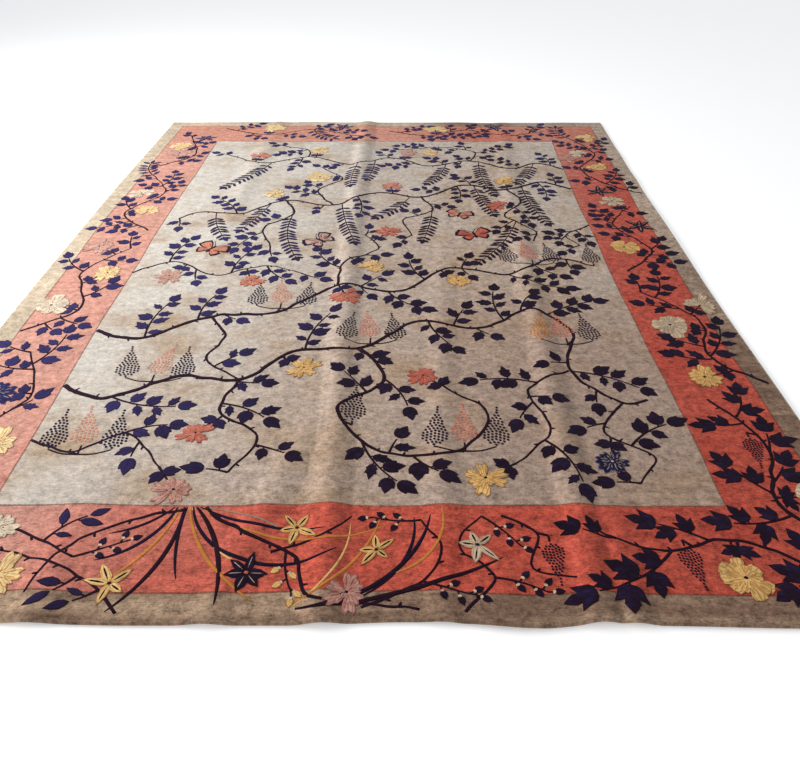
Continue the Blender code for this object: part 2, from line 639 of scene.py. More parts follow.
    def overcast(self, bench: Bench, lie: Lie, x: Signal, y: Signal, colour: Signal) -> Signal:
        """Wraps the two sides in pale stitches."""
        outwards = lie.width / 2 - abs(x)
        turns = bench.node("ShaderNodeMath", {"operation": "FRACT"}, {0: (x + y) * (1.0 / self.stitch_pitch)})
        stitches = self.stitch_shade + self.stitch_light * turns.near(0.5, 0.5)
        wrapped = (1.0 - outwards.rise(*self.stitch_span)) * stitches
        return bench.blend(wrapped, colour, self.selvedge)


@dataclass(frozen=True)
class DyedFinish:
    """The wool of one colour of motif: its body, fresh and paled, its heart, its outline and its veins. The
    paling, toward the left and the far end, is partly bleaching and partly painted light, and it washes out
    the heart, the veins and the rim.
    """

    name: str
    body: ScreenColour
    paled: ScreenColour
    heart: ScreenColour
    rim: ScreenColour
    vein: ScreenColour
    rim_share: float = 0.42
    rim_waver: float = 0.16
    rim_blur: float = 0.12
    rim_dip: float = 0.5
    vein_share: float = 0.0
    vein_count: float = 0.0
    vein_slant: float = 3.0
    vein_span: Point = (0.30, 0.90)
    spine: Point = (0.14, 0.04)
    streaks: Cells = Cells(60.0, 190.0, 1.0)
    patches: Cells = Cells(26.0, 34.0, 1.0)
    hearts: Mottle = Mottle(0.30, 0.30, 0.35)
    heart_span: Point = (0.1, 1.1)
    paled_full: float = 0.85
    contrast_washout: float = 0.45
    tint_gain: float = 0.16
    pile: Pile = Pile(weft_depth=0.10, tuft_depth=0.34, sheen=0.03, specular=0.03)

    def dress(self) -> Material:
        """Makes the material, which reads the outline and the tint that each motif carries."""
        bench = Bench("wool_" + self.name)
        flat = bench.map(Bench.FLAT)
        across, along = bench.split(bench.map(Bench.CHART))
        streaks = bench.noise(flat, self.streaks)
        patches = bench.noise(flat, self.patches)
        # Paler toward the left and the far end: partly bleaching, partly painted light from the lamp on the
        # left and its glare.
        fade = self.pile.fade(bench, flat)
        contrast_kept = 1.0 - self.contrast_washout * fade
        colour = bench.blend(fade.rise(0.0, self.paled_full), self.body, self.paled)
        hearts = self.hearts.of(patches, streaks).rise(*self.heart_span)
        colour = bench.blend(hearts * contrast_kept, colour, self.heart)
        if self.vein_share:
            ribs = abs(across).rise(*self.spine)
            if self.vein_count:
                turns = across * self.vein_count + along * self.vein_slant + patches
                ribs = bench.node("ShaderNodeMath", {"operation": "SINE"}, {0: turns}).rise(*self.vein_span)
            colour = bench.blend(ribs * self.vein_share * contrast_kept, colour, self.vein)
        inner = 1.0 - self.rim_share
        rim = bench.attribute("rim") + self.rim_waver * streaks
        edge = rim.rise(inner - self.rim_blur, inner + self.rim_blur)
        colour = bench.blend(edge * contrast_kept, colour, self.rim)
        gain, height = self.pile.gain(bench, flat)
        gain = gain * (1.0 + self.tint_gain * bench.attribute("tint"))
        return self.pile.finish(bench, bench.brightened(colour, gain), height - self.rim_dip * edge)


class Dye(Enum):
    """The dyed wools of the motifs."""

    NAVY = DyedFinish("navy", (32, 19, 33), (52, 46, 92), (38, 34, 70), (38, 17, 28), (30, 16, 30),
                      rim_share=0.50, vein_share=0.55)
    PLUM = DyedFinish("plum", (34, 16, 28), (44, 26, 42), (46, 26, 38), (30, 14, 24), (30, 14, 24))
    INK = DyedFinish("ink", (28, 18, 32), (34, 28, 58), (38, 34, 68), (28, 16, 32), (28, 16, 32))
    GOLD = DyedFinish("gold", (216, 176, 112), (228, 208, 162), (196, 150, 90), (150, 104, 60),
                      (156, 110, 62), rim_share=0.28, vein_share=0.70, vein_count=9.0)
    CORAL = DyedFinish("coral", (186, 98, 80), (204, 138, 116), (172, 82, 66), (138, 60, 52), (140, 54, 48),
                       rim_share=0.22, vein_share=0.70, vein_count=9.0)
    ROSE = DyedFinish("rose", (178, 140, 124), (194, 160, 146), (176, 122, 112), (146, 94, 90), (142, 88, 86),
                      vein_share=0.70, vein_count=9.0)
    BLUSH = DyedFinish("blush", (188, 118, 98), (202, 148, 128), (176, 104, 86), (188, 120, 100),
                       (160, 92, 78))
    IVORY = DyedFinish("ivory", (198, 174, 146), (218, 203, 182), (178, 152, 128), (136, 108, 88),
                       (134, 110, 92), rim_share=0.24, vein_share=0.65, vein_count=9.0)
    PEONY_NAVY = DyedFinish("peony_navy", (32, 24, 50), (42, 40, 88), (40, 44, 92), (106, 100, 122),
                            (24, 16, 40), rim_share=0.14, vein_share=0.5, vein_count=7.0)
    STONE = DyedFinish("stone", (146, 134, 112), (166, 156, 134), (136, 124, 102), (160, 150, 128),
                       (120, 108, 90))
    OCHRE = DyedFinish("ochre", (186, 120, 58), (200, 142, 82), (170, 104, 48), (206, 156, 90), (142, 86, 40))


class Station(NamedTuple):
    """One step along a motif's outline: its distance, its half width, and how far its rim is swept on."""

    along: float
    half_width: float
    sweep: float = 0.0


class Shape(NamedTuple):
    """The mesh of a motif, modelled once at a length of 1."""

    points: np.ndarray
    faces: list[tuple[int, ...]]
    chart: np.ndarray
    rim: np.ndarray


@dataclass(frozen=True)
class Outline:
    """A leaf, petal or wing: a grid drawn out to an outline, with walls down into the pile."""

    name: str
    stations: tuple[Station, ...]
    rows: tuple[float, ...] = (-1.0, -0.74, 0.0, 0.74, 1.0)
    rim_height: float = 0.0007
    crown: float = 0.0006
    crown_fall: float = 0.3
    root: float = 0.0030
    merged_within: float = 0.0001
    flat_below: float = math.radians(40)

    def model(self) -> Shape:
        """Models the motif from a grid and takes its mesh.

        Returns:
            Its points, with heights in metres, and what each carries.
        """
        steps, rows = len(self.stations) - 1, len(self.rows) - 1
        deselect()
        bpy.ops.mesh.primitive_grid_add(x_subdivisions=steps, y_subdivisions=rows, size=2.0)
        piece = bpy.context.active_object
        mesh = piece.data
        carried = mesh.attributes.new("carried", "FLOAT_VECTOR", "POINT")
        for index, vertex in enumerate(mesh.vertices):
            step = round((vertex.co.x + 1) / 2 * steps)
            side = self.rows[round((vertex.co.y + 1) / 2 * rows)]
            station = self.stations[step]
            at_end = step in (0, steps)
            rim = 1.0 if abs(side) == 1.0 or at_end else 0.0
            crown = 0.0 if rim else self.crown * (1.0 - self.crown_fall * abs(side))
            carried.data[index].vector = (side, station.along, rim)
            along = station.along + station.sweep * abs(side)
            vertex.co = (along, station.half_width * side, self.rim_height + crown)
        bpy.ops.object.mode_set(mode="EDIT")
        bpy.ops.mesh.select_all(action="SELECT")
        bpy.ops.mesh.remove_doubles(threshold=self.merged_within)
        bpy.ops.mesh.extrude_region_move(TRANSFORM_OT_translate={"value": (0.0, 0.0, -self.root)})
        bpy.ops.mesh.dissolve_limited(angle_limit=self.flat_below)
        bpy.ops.mesh.select_all(action="SELECT")
        bpy.ops.mesh.normals_make_consistent(inside=False)
        bpy.ops.object.mode_set(mode="OBJECT")
        return take(piece, "carried")


def take(piece: Object, carried: str) -> Shape:
    """Takes the mesh off a piece and removes the piece."""
    mesh = piece.data
    points = np.zeros(len(mesh.vertices) * 3)
    mesh.vertices.foreach_get("co", points)
    values = np.zeros(len(mesh.vertices) * 3)
    mesh.attributes[carried].data.foreach_get("vector", values)
    values = values.reshape(-1, 3)
    shape = Shape(points.reshape(-1, 3), [tuple(face.vertices) for face in mesh.polygons],
                  values[:, :2].copy(), values[:, 2].copy())
    bpy.data.objects.remove(piece)
    bpy.data.meshes.remove(mesh)
    return shape


@dataclass(frozen=True)
class Dot:
    """A single small tuft, six-sided, with a shoulder."""

    name: str
    sides: int = 6
    shoulder: float = 0.72
    height: float = 0.0011
    root: float = 0.0030

    def model(self) -> Shape:
        """Models the dot from a circle that is pulled up and narrowed."""
        deselect()
        bpy.ops.mesh.primitive_circle_add(vertices=self.sides, radius=1.0, fill_type="NGON",
                                          location=(0.0, 0.0, -self.root))
        piece = bpy.context.active_object
        bpy.ops.object.transform_apply(location=True, rotation=False, scale=False)
        piece.data.attributes.new("carried", "FLOAT_VECTOR", "POINT")
        bpy.ops.object.mode_set(mode="EDIT")
        bpy.ops.mesh.select_all(action="SELECT")
        pull = (0.0, 0.0, self.root + self.height)
        bpy.ops.mesh.extrude_region_move(TRANSFORM_OT_translate={"value": pull})
        bpy.ops.transform.resize(value=(self.shoulder, self.shoulder, 1.0))
        bpy.ops.mesh.select_all(action="SELECT")
        bpy.ops.mesh.normals_make_consistent(inside=False)
        bpy.ops.object.mode_set(mode="OBJECT")
        return take(piece, "carried")


class Motif(Enum):
    """Every motif that is modelled once and copied."""

    TOOTHED_LEAF = Outline("toothed leaf", (
        Station(0.00, 0.00), Station(0.06, 0.19, -0.02), Station(0.20, 0.35), Station(0.36, 0.40, 0.04),
        Station(0.50, 0.38, 0.13), Station(0.60, 0.25, 0.03), Station(0.80, 0.16), Station(1.00, 0.00)))
    NOTCHED_LEAF = Outline("notched leaf", (
        Station(0.00, 0.00), Station(0.08, 0.17), Station(0.26, 0.34, 0.04), Station(0.34, 0.27, 0.00),
        Station(0.52, 0.34, 0.10), Station(0.62, 0.19, 0.02), Station(0.82, 0.11), Station(1.00, 0.00)))
    LOBED_LEAF = Outline("lobed leaf", (
        Station(0.00, 0.00), Station(0.06, 0.18, -0.04), Station(0.16, 0.32, -0.04),
        Station(0.28, 0.36, 0.02), Station(0.40, 0.46, 0.22), Station(0.48, 0.18, 0.02),
        Station(0.64, 0.21, 0.02), Station(0.84, 0.11), Station(1.00, 0.00)))
    SLIM_LEAF = Outline("slim leaf", (
        Station(0.00, 0.00), Station(0.18, 0.13), Station(0.45, 0.19), Station(0.75, 0.12),
        Station(1.00, 0.00)),
        rows=(-1.0, -0.6, 0.6, 1.0))
    LEAFLET = Outline("leaflet", (
        Station(0.00, 0.03), Station(0.35, 0.100), Station(0.78, 0.095), Station(1.00, 0.00)),
        rows=(-1.0, 0.0, 1.0), rim_height=0.0009)
    NOTCHED_PETAL = Outline("notched petal", (
        Station(0.06, 0.05), Station(0.30, 0.22), Station(0.60, 0.40), Station(0.84, 0.42, 0.05),
        Station(0.84, 0.26, 0.20)),
        rim_height=0.0011)
    RUFFLED_PETAL = Outline("ruffled petal", (
        Station(0.05, 0.10), Station(0.28, 0.34), Station(0.48, 0.36, 0.05), Station(0.62, 0.46, 0.08),
        Station(0.82, 0.40, 0.06), Station(0.94, 0.20, -0.05)), rim_height=0.0011)
    POINTED_PETAL = Outline("pointed petal", (
        Station(0.03, 0.05), Station(0.30, 0.15), Station(0.62, 0.13), Station(1.00, 0.00)),
        rim_height=0.0011)
    WING = Outline("wing", (
        Station(0.00, 0.07), Station(0.25, 0.17), Station(0.60, 0.34), Station(0.86, 0.36, 0.06),
        Station(1.00, 0.10, -0.04)), rim_height=0.0011)
    BUD = Outline("bud", (
        Station(0.00, 0.10), Station(0.28, 0.30), Station(0.62, 0.26), Station(1.00, 0.00)),
        rows=(-1.0, -0.5, 0.5, 1.0), rim_height=0.0010)
    DOT = Dot("dot")


class Stamp(NamedTuple):
    """One copy of a motif: where its foot is, which way it points, and its size."""

    x: float
    y: float
    heading: float
    length: float
    width: float
    above: float
    tint: float


class Stroke(NamedTuple):
    """One drawn line: its points and its half width at each of them."""

    points: np.ndarray
    radii: np.ndarray


def ahead(x: float, y: float, heading: float, distance: float) -> Point:
    """The point at a distance from another, along a heading in degrees."""
    angle = math.radians(heading)
    return x + distance * math.cos(angle), y + distance * math.sin(angle)


def arc(spot: Point, heading: float, length: float, bend: float, step: float = STEP) -> list[Point]:
    """The points of a line that turns by bend degrees over its length."""
    count = max(2, round(length / step))
    points = [spot]
    for index in range(count):
        turned = heading + bend * (index + 0.5) / count
        points.append(ahead(*points[-1], turned, length / count))
    return points


def smoothed(points: tuple[Point, ...], step: float = STEP, steps: int = 11) -> np.ndarray:
    """A smooth line through a bough's own points, with a point every step."""
    knots = np.array([points[0], *points, points[-1]], float)
    line = [knots[1]]
    for before, first, second, after in zip(knots, knots[1:], knots[2:], knots[3:]):
        for share in np.linspace(0.0, 1.0, steps + 1)[1:]:
            line.append(0.5 * (2 * first + (second - before) * share
                               + (2 * before - 5 * first + 4 * second - after) * share**2
                               + (3 * first - before - 3 * second + after) * share**3))
    rough = np.array(line)
    run = np.concatenate([[0.0], np.cumsum(np.linalg.norm(np.diff(rough, axis=0), axis=1))])
    wanted = np.linspace(0.0, run[-1], max(2, round(run[-1] / step)))
    return np.stack([np.interp(wanted, run, rough[:, axis]) for axis in (0, 1)], axis=1)


class Growth(Enum):
    """What a letter of a bough's growth stands for. A capital grows on its left, a small one on its right."""

    THORN = "."
    LONG_SPRAY = "l"
    SHORT_SPRAY = "s"
    SLIM_SPRAY = "e"
    GOLD_BLOSSOM = "g"
    CORAL_BLOSSOM = "c"
    ROSE_BLOSSOM = "p"
    IVORY_BLOSSOM = "i"
    NAVY_BLOSSOM = "b"
    NAVY_PEONY = "v"
    GOLD_PEONY = "y"
    IVORY_PEONY = "w"
    FROND = "f"
    RACEME = "n"
    MIXED_RACEMES = "m"
    WARM_RACEMES = "o"
    BUDS = "d"


class Bough(NamedTuple):
    """A row of the drawing: one bough, from its root to its tip, and what grows along it."""

    name: str
    points: tuple[Point, ...]
    width: float
    growth: str
    leaf: Motif = Motif.TOOTHED_LEAF
    raceme_heading: float = 90.0


FIELD_BOUGHS = (
    Bough("low bough", ((-1.00, -0.60), (-0.82, -0.65), (-0.60, -0.50), (-0.36, -0.47), (-0.13, -0.27),
                        (0.12, -0.31), (0.33, -0.12), (0.57, -0.17), (0.78, -0.03), (0.92, -0.09)),
          0.018, ".L.ls.mG.cSl.LgS.lM.sn"),
    Bough("second stem", ((-1.00, -0.93), (-0.84, -1.00), (-0.63, -0.88), (-0.42, -0.90), (-0.25, -0.73),
                          (-0.02, -0.71), (0.18, -0.54), (0.42, -0.58), (0.62, -0.45), (0.75, -0.61),
                          (0.70, -0.84), (0.83, -1.02), (0.92, -1.00)), 0.018, ".Lm.lS.gL.Mc.lS.Ll.sO.lS.s"),
    Bough("link", ((-0.60, -0.50), (-0.52, -0.64), (-0.56, -0.78), (-0.42, -0.90)), 0.012, "..S."),
    Bough("left hook", ((-0.42, -0.90), (-0.46, -1.06), (-0.32, -1.18), (-0.38, -1.34)), 0.012, ".Lc.lS.s"),
    Bough("middle hook", ((-0.02, -0.71), (0.06, -0.90), (-0.08, -1.06), (0.06, -1.25), (0.30, -1.24),
                          (0.39, -1.07), (0.27, -0.95)), 0.014, ".lS.nLs.M.g.c"),
    Bough("right hook", ((0.70, -0.84), (0.54, -0.96), (0.58, -1.15), (0.45, -1.30)), 0.011, ".lS.Ll.g"),
    Bough("low right stem", ((0.83, -1.02), (0.74, -1.16), (0.86, -1.27), (0.79, -1.38)), 0.010, ".SvL.ls"),
    Bough("corner spray", ((-1.00, -1.20), (-0.86, -1.25), (-0.72, -1.17), (-0.58, -1.32)), 0.010, ".m.lS.p"),
    Bough("left twig", ((-1.00, -0.16), (-0.84, -0.06), (-0.66, -0.18), (-0.46, -0.10), (-0.30, -0.16)),
          0.010, ".LpS.lcL.s"),
    Bough("right twig", ((1.00, 0.30), (0.88, 0.20), (0.92, 0.10)), 0.010, ".lS.s"),
    Bough("rise", ((-0.13, -0.27), (-0.12, -0.08), (0.02, 0.06), (-0.04, 0.20)), 0.011, ".LgS.cs"),
    Bough("high bough", ((1.00, 0.74), (0.84, 0.83), (0.66, 0.72), (0.44, 0.79), (0.22, 0.63), (0.00, 0.69),
                         (-0.22, 0.53), (-0.46, 0.59), (-0.66, 0.43), (-0.86, 0.45), (-0.94, 0.38)),
          0.017, ".LFg.fLs.Fc.LfS.gF.lf.S"),
    Bough("far bough", ((1.00, 1.02), (0.86, 1.11), (0.70, 1.02), (0.50, 1.14), (0.26, 1.07), (0.06, 1.19),
                        (-0.18, 1.09), (-0.42, 1.21), (-0.66, 1.10), (-0.86, 1.22)),
          0.014, ".FlL.fSF.lp.FfS.gL.fc.s"),
    Bough("far rise", ((0.50, 1.14), (0.53, 1.28), (0.35, 1.36), (0.12, 1.33)), 0.010, ".Ls.gl.S"),
    Bough("far left rise", ((-0.42, 1.21), (-0.45, 1.33), (-0.62, 1.39)), 0.010, ".l.Ss"),
    Bough("middle droop", ((0.22, 0.63), (0.27, 0.47), (0.13, 0.36), (0.17, 0.20)), 0.011, ".fS.ls"),
    Bough("left droop", ((-0.46, 0.59), (-0.40, 0.43), (-0.52, 0.28), (-0.46, 0.08)), 0.012, ".fS.Lls"),
    Bough("right droop", ((0.66, 0.72), (0.72, 0.56), (0.62, 0.41), (0.74, 0.24), (0.72, 0.14)),
          0.012, ".fC.lFs.l"),
    Bough("cross stem", ((-0.22, 0.53), (-0.31, 0.72), (-0.20, 0.88), (-0.30, 1.00)), 0.011, ".lS.yLs"),
)

LEFT_BOUGHS = (
    Bough("left, near", ((-1.10, -1.42), (-1.21, -1.22), (-1.09, -0.98), (-1.19, -0.74)), 0.011, ".gI.lV.Ls"),
    Bough("left, second", ((-1.28, -0.60), (-1.12, -0.44), (-1.21, -0.16), (-1.08, 0.06)),
          0.011, ".SwL.gE.lps"),
    Bough("left, third", ((-1.05, 0.24), (-1.22, 0.44), (-1.10, 0.68), (-1.21, 0.91)), 0.010, ".lGS.iLs.e"),
    Bough("left, far", ((-1.24, 1.06), (-1.08, 1.24), (-1.17, 1.52)), 0.010, ".LpS.glB.s"),
)
RIGHT_BOUGHS = (
    Bough("right, near", ((1.31, -1.79), (1.28, -1.62), (1.15, -1.46), (1.21, -1.22), (1.11, -1.00)),
          0.015, ".LsSlWsLSnSlL", Motif.LOBED_LEAF, -90.0),
    Bough("right, second", ((1.35, -0.92), (1.21, -0.76), (1.25, -0.52), (1.09, -0.32)),
          0.012, ".gELs.wLI.elS"),
    Bough("right, third", ((1.08, -0.14), (1.23, 0.06), (1.12, 0.31), (1.25, 0.52)),
          0.011, ".LySEsbp.EiL"),
    Bough("right, far", ((1.35, 0.68), (1.19, 0.81), (1.10, 1.03), (1.22, 1.25), (1.12, 1.52)),
          0.012, ".bLSEgLpSiSl.gE"),
)
FAR_BOUGHS = (
    Bough("far, left", ((-1.00, 1.70), (-0.72, 1.58), (-0.46, 1.68), (-0.18, 1.56)), 0.010, ".LgS.eB.s"),
    Bough("far, right", ((0.02, 1.66), (0.27, 1.57), (0.50, 1.68), (0.74, 1.58), (0.98, 1.66)),
          0.010, ".lG.Sbe.Ls"),
)
NEAR_BOUGHS = (
    Bough("near, left", ((-1.30, -1.60), (-1.12, -1.50), (-0.90, -1.55), (-0.72, -1.64)),
          0.011, ".gi.lL.lS.LlD", Motif.SLIM_LEAF),
    Bough("near, right", ((1.31, -1.79), (1.16, -1.68), (0.98, -1.58), (0.78, -1.62), (0.62, -1.55)),
          0.012, ".LsLlYSnLsSl", Motif.LOBED_LEAF, -90.0),
    Bough("near, hook", ((0.38, -1.50), (0.47, -1.56), (0.44, -1.66), (0.54, -1.70)),
          0.009, ".N.lSl", Motif.LOBED_LEAF, -90.0),
    Bough("near, berries", ((0.02, -1.79), (0.16, -1.72), (0.22, -1.62), (0.17, -1.52)), 0.009, ".dD.d"),
    Bough("near, left arm", ((-0.47, -1.475), (-0.62, -1.52), (-0.74, -1.61), (-0.80, -1.75)),
          0.010, ".LsdS.d", Motif.SLIM_LEAF),
    Bough("near, right arm", ((-0.42, -1.475), (-0.30, -1.56), (-0.16, -1.64), (-0.10, -1.76), (0.16, -1.80)),
          0.012, ".Dd.D", Motif.SLIM_LEAF),
    Bough("near, trailing", ((-0.56, -1.80), (-0.68, -1.70), (-0.84, -1.64), (-0.98, -1.60)),
          0.009, ".sLdlS", Motif.SLIM_LEAF),
    Bough("near, rising", ((0.26, -1.80), (0.34, -1.70), (0.26, -1.60), (0.33, -1.50)),
          0.009, ".Dd.sD", Motif.SLIM_LEAF),
    Bough("near, middle", ((-0.22, -1.62), (-0.10, -1.58), (-0.02, -1.50)), 0.009, ".Dd.d", Motif.SLIM_LEAF),
    Bough("near, corner", ((-1.32, -1.78), (-1.20, -1.68), (-1.04, -1.70), (-0.94, -1.79)),
          0.010, ".GS.Ld.s", Motif.SLIM_LEAF),
)


class Region(NamedTuple):
    """The boughs of one part of the rug, the gap between filling sprays, and how close leaves may come."""

    boughs: tuple[Bough, ...]
    fill_gap: float
    overlap: float = 0.010


REGIONS = (
    Region(FIELD_BOUGHS, 0.170),
    Region(LEFT_BOUGHS, 0.110),
    Region(RIGHT_BOUGHS, 0.057, 0.016),
    Region(FAR_BOUGHS, 0.088),
    Region(NEAR_BOUGHS, 0.070, 0.016),
)


class Blade(NamedTuple):
    """A row of the grass tuft: a long thin leaf that bends over."""

    x: float
    y: float
    heading: float
    length: float
    bend: float
    width: float
    dye: Dye


TUFT = (
    Blade(-0.500, -1.470, -128.0, 0.18, -40.0, 0.009, Dye.INK),
    Blade(-0.492, -1.470, -102.0, 0.26, -62.0, 0.011, Dye.NAVY),
    Blade(-0.484, -1.472, -98.0, 0.31, -46.0, 0.010, Dye.OCHRE),
    Blade(-0.474, -1.470, -84.0, 0.36, -50.0, 0.013, Dye.PLUM),
    Blade(-0.466, -1.470, -96.0, 0.24, 24.0, 0.009, Dye.NAVY),
    Blade(-0.458, -1.472, -76.0, 0.38, 44.0, 0.011, Dye.OCHRE),
    Blade(-0.452, -1.472, -70.0, 0.34, 52.0, 0.006, Dye.GOLD),
    Blade(-0.450, -1.470, -76.0, 0.50, 112.0, 0.012, Dye.NAVY),
    Blade(-0.440, -1.470, -50.0, 0.34, -42.0, 0.014, Dye.PLUM),
    Blade(-0.430, -1.470, -30.0, 0.36, 34.0, 0.010, Dye.INK),
    Blade(-0.424, -1.472, -42.0, 0.54, 70.0, 0.009, Dye.OCHRE),
    Blade(-0.416, -1.472, -8.0, 0.30, -30.0, 0.005, Dye.STONE),
    Blade(-0.120, -1.792, 6.0, 0.46, 74.0, 0.013, Dye.NAVY),
    Blade(-0.140, -1.792, 2.0, 0.54, 30.0, 0.014, Dye.PLUM),
    Blade(-0.160, -1.784, 26.0, 0.36, 50.0, 0.009, Dye.OCHRE),
    Blade(-0.150, -1.786, 34.0, 0.30, 58.0, 0.006, Dye.GOLD),
    Blade(0.080, -1.700, 14.0, 0.30, 88.0, 0.009, Dye.OCHRE),
    Blade(0.020, -1.760, 30.0, 0.30, 66.0, 0.010, Dye.NAVY),
)


class Bloom(NamedTuple):
    """A row of the loose flowers: one that stands by itself."""

    x: float
    y: float
    size: float
    dye: Dye
    petals: Motif


LOOSE_BLOOMS = (
    Bloom(-0.16, -1.545, 0.100, Dye.GOLD, Motif.POINTED_PETAL),
    Bloom(-0.27, -1.690, 0.118, Dye.NAVY, Motif.POINTED_PETAL),
    Bloom(-0.60, -1.720, 0.108, Dye.GOLD, Motif.POINTED_PETAL),
    Bloom(0.05, -1.620, 0.102, Dye.GOLD, Motif.POINTED_PETAL),
    Bloom(0.31, -1.600, 0.112, Dye.IVORY, Motif.POINTED_PETAL),
    Bloom(-0.02, -1.750, 0.105, Dye.ROSE, Motif.NOTCHED_PETAL),
    Bloom(-0.885, -1.700, 0.122, Dye.GOLD, Motif.NOTCHED_PETAL),
    Bloom(-0.950, -1.545, 0.106, Dye.IVORY, Motif.NOTCHED_PETAL),
)


class Whorl(NamedTuple):
    """One ring of petals. Their length and width are shares of the flower's size, their height is real."""

    count: int
    reach: float
    width: float
    above: float


FULL_WHORLS = (Whorl(6, 0.50, 0.36, 0.0), Whorl(5, 0.36, 0.26, 0.0004), Whorl(4, 0.20, 0.20, 0.0008))
OPEN_WHORLS = (Whorl(5, 0.50, 0.44, 0.0), Whorl(5, 0.34, 0.28, 0.0004), Whorl(4, 0.20, 0.20, 0.0008))
PEONY_WHORLS = (Whorl(6, 0.54, 0.34, 0.0), Whorl(6, 0.42, 0.28, 0.0004), Whorl(5, 0.26, 0.24, 0.0008))
STAR_WHORL = Whorl(5, 0.54, 0.72, 0.0)

# The flower that each letter stands for: its dye and its petals.
BLOSSOMS = {
    Growth.GOLD_BLOSSOM: (Dye.GOLD, Motif.NOTCHED_PETAL),
    Growth.CORAL_BLOSSOM: (Dye.CORAL, Motif.NOTCHED_PETAL),
    Growth.ROSE_BLOSSOM: (Dye.ROSE, Motif.NOTCHED_PETAL),
    Growth.IVORY_BLOSSOM: (Dye.IVORY, Motif.NOTCHED_PETAL),
    Growth.NAVY_BLOSSOM: (Dye.NAVY, Motif.POINTED_PETAL),
    Growth.NAVY_PEONY: (Dye.PEONY_NAVY, Motif.NOTCHED_PETAL),
    Growth.GOLD_PEONY: (Dye.GOLD, Motif.RUFFLED_PETAL),
    Growth.IVORY_PEONY: (Dye.IVORY, Motif.RUFFLED_PETAL),
}

# The clusters of tufts that each letter stands for, by their dyes.
RACEMES = {
    Growth.RACEME: (Dye.INK,),
    Growth.MIXED_RACEMES: (Dye.INK, Dye.BLUSH, Dye.INK),
    Growth.WARM_RACEMES: (Dye.OCHRE, Dye.BLUSH, Dye.INK),
}

# The wool of the short lines on a petal, by the petal's own.
SECOND_DYES = {Dye.GOLD: Dye.OCHRE, Dye.CORAL: Dye.ROSE, Dye.ROSE: Dye.CORAL, Dye.IVORY: Dye.STONE,
               Dye.PEONY_NAVY: Dye.STONE}


class Leaf(NamedTuple):
    """The size of a leaf, and how far apart the leaves of its spray are."""

    length: float
    width: float
    gap: float


LEAVES = {
    Motif.TOOTHED_LEAF: Leaf(0.069, 0.062, 0.034),
    Motif.LOBED_LEAF: Leaf(0.080, 0.080, 0.043),
    Motif.SLIM_LEAF: Leaf(0.062, 0.072, 0.031),
}


class Butterfly(NamedTuple):
    """A row of the butterflies: where, which way it flies, its span and its two dyes."""

    x: float
    y: float
    heading: float
    span: float
    wings: Dye
    edge: Dye


BUTTERFLIES = (
    Butterfly(-0.72, 0.05, 60.0, 0.165, Dye.CORAL, Dye.PLUM),
    Butterfly(0.46, 0.20, 105.0, 0.170, Dye.CORAL, Dye.PLUM),
    Butterfly(-0.24, 0.14, 140.0, 0.160, Dye.ROSE, Dye.INK),
    Butterfly(0.40, 0.42, 70.0, 0.140, Dye.BLUSH, Dye.INK),
)


@dataclass
class Sprig:
    """A piece of the drawing that isn't on the cloth yet, with the spots that it would take up."""

    strokes: list[tuple[Dye, Stroke]] = field(default_factory=list)
    stamps: list[tuple[Motif, Dye, Stamp]] = field(default_factory=list)
    spots: list[tuple[float, float, float]] = field(default_factory=list)
    line_spot: float = 0.005
    leaf_spot: float = 0.46
    leaflet_spot: float = 0.15

    def line(self, dye: Dye, points: list[Point], radii: np.ndarray, counted: int = 2) -> None:
        """Draws a line.

        Args:
            dye: Its wool.
            points: Its points, close together.
            radii: Half its width at each of them.
            counted: The first point that takes up room. Those before it touch what the line grows from.
        """
        self.strokes.append((dye, Stroke(np.array(points, float), radii)))
        self.spots.extend((x, y, self.line_spot) for x, y in points[counted:])

    def twig(self, points: list[Point], start: float, end: float, counted: int = 2) -> None:
        """Draws a plum line that tapers from half a width to another."""
        self.line(Dye.PLUM, points, np.linspace(start, end, len(points)), counted)

    def stamp(self, motif: Motif, dye: Dye, spot: Point, heading: float, length: float, width: float,
              above: float, tint: float) -> None:
        """Puts one copy of a motif down."""
        self.stamps.append((motif, dye, Stamp(*spot, heading, length, width, above, tint)))
        reach = 0.0 if motif is Motif.DOT else length / 2
        share = self.leaflet_spot if motif is Motif.LEAFLET else self.leaf_spot
        self.spots.append((*ahead(*spot, heading, reach), min(length, width) * share))


@dataclass
class Room:
    """The ground that is taken already."""

    half_width: float
    half_length: float
    margin: float = 0.014
    overhang: float = 8.0
    homing: float = 2.0
    field_inset: float = 0.366
    widest_spot: float = 0.1
    taken: np.ndarray = field(default_factory=lambda: np.zeros((0, 3)))

    def crowding(self, spots: list[tuple[float, float, float]], in_field: bool) -> float:
        """How far, in all, some spots reach into what is taken, or out of the part they belong in."""
        new = np.array(spots)
        sizes = new[:, 2]
        into_border = np.maximum(np.abs(new[:, 0]) - self.half_width, np.abs(new[:, 1]) - self.half_length)
        into_border += self.field_inset + sizes
        stray = into_border if in_field else 2 * sizes - into_border
        home = self.homing * stray.clip(0.0).sum()
        over = self.overhang * (np.abs(new[:, 0]) + sizes - self.half_width + self.margin).clip(0.0).sum()
        over += self.overhang * (np.abs(new[:, 1]) + sizes - self.half_length + self.margin).clip(0.0).sum()
        low, high = new[:, :2].min(0) - self.widest_spot, new[:, :2].max(0) + self.widest_spot
        near = self.taken[np.all((self.taken[:, :2] > low) & (self.taken[:, :2] < high), axis=1)]
        if len(near):
            gaps = np.hypot(new[:, None, 0] - near[None, :, 0], new[:, None, 1] - near[None, :, 1])
            over += (sizes[:, None] + near[None, :, 2] - gaps).clip(0.0).sum()
        return float(over + home)

    def take(self, spots: list[tuple[float, float, float]]) -> None:
        """Marks spots as taken."""
        self.taken = np.concatenate([self.taken, np.array(spots).reshape(-1, 3)])


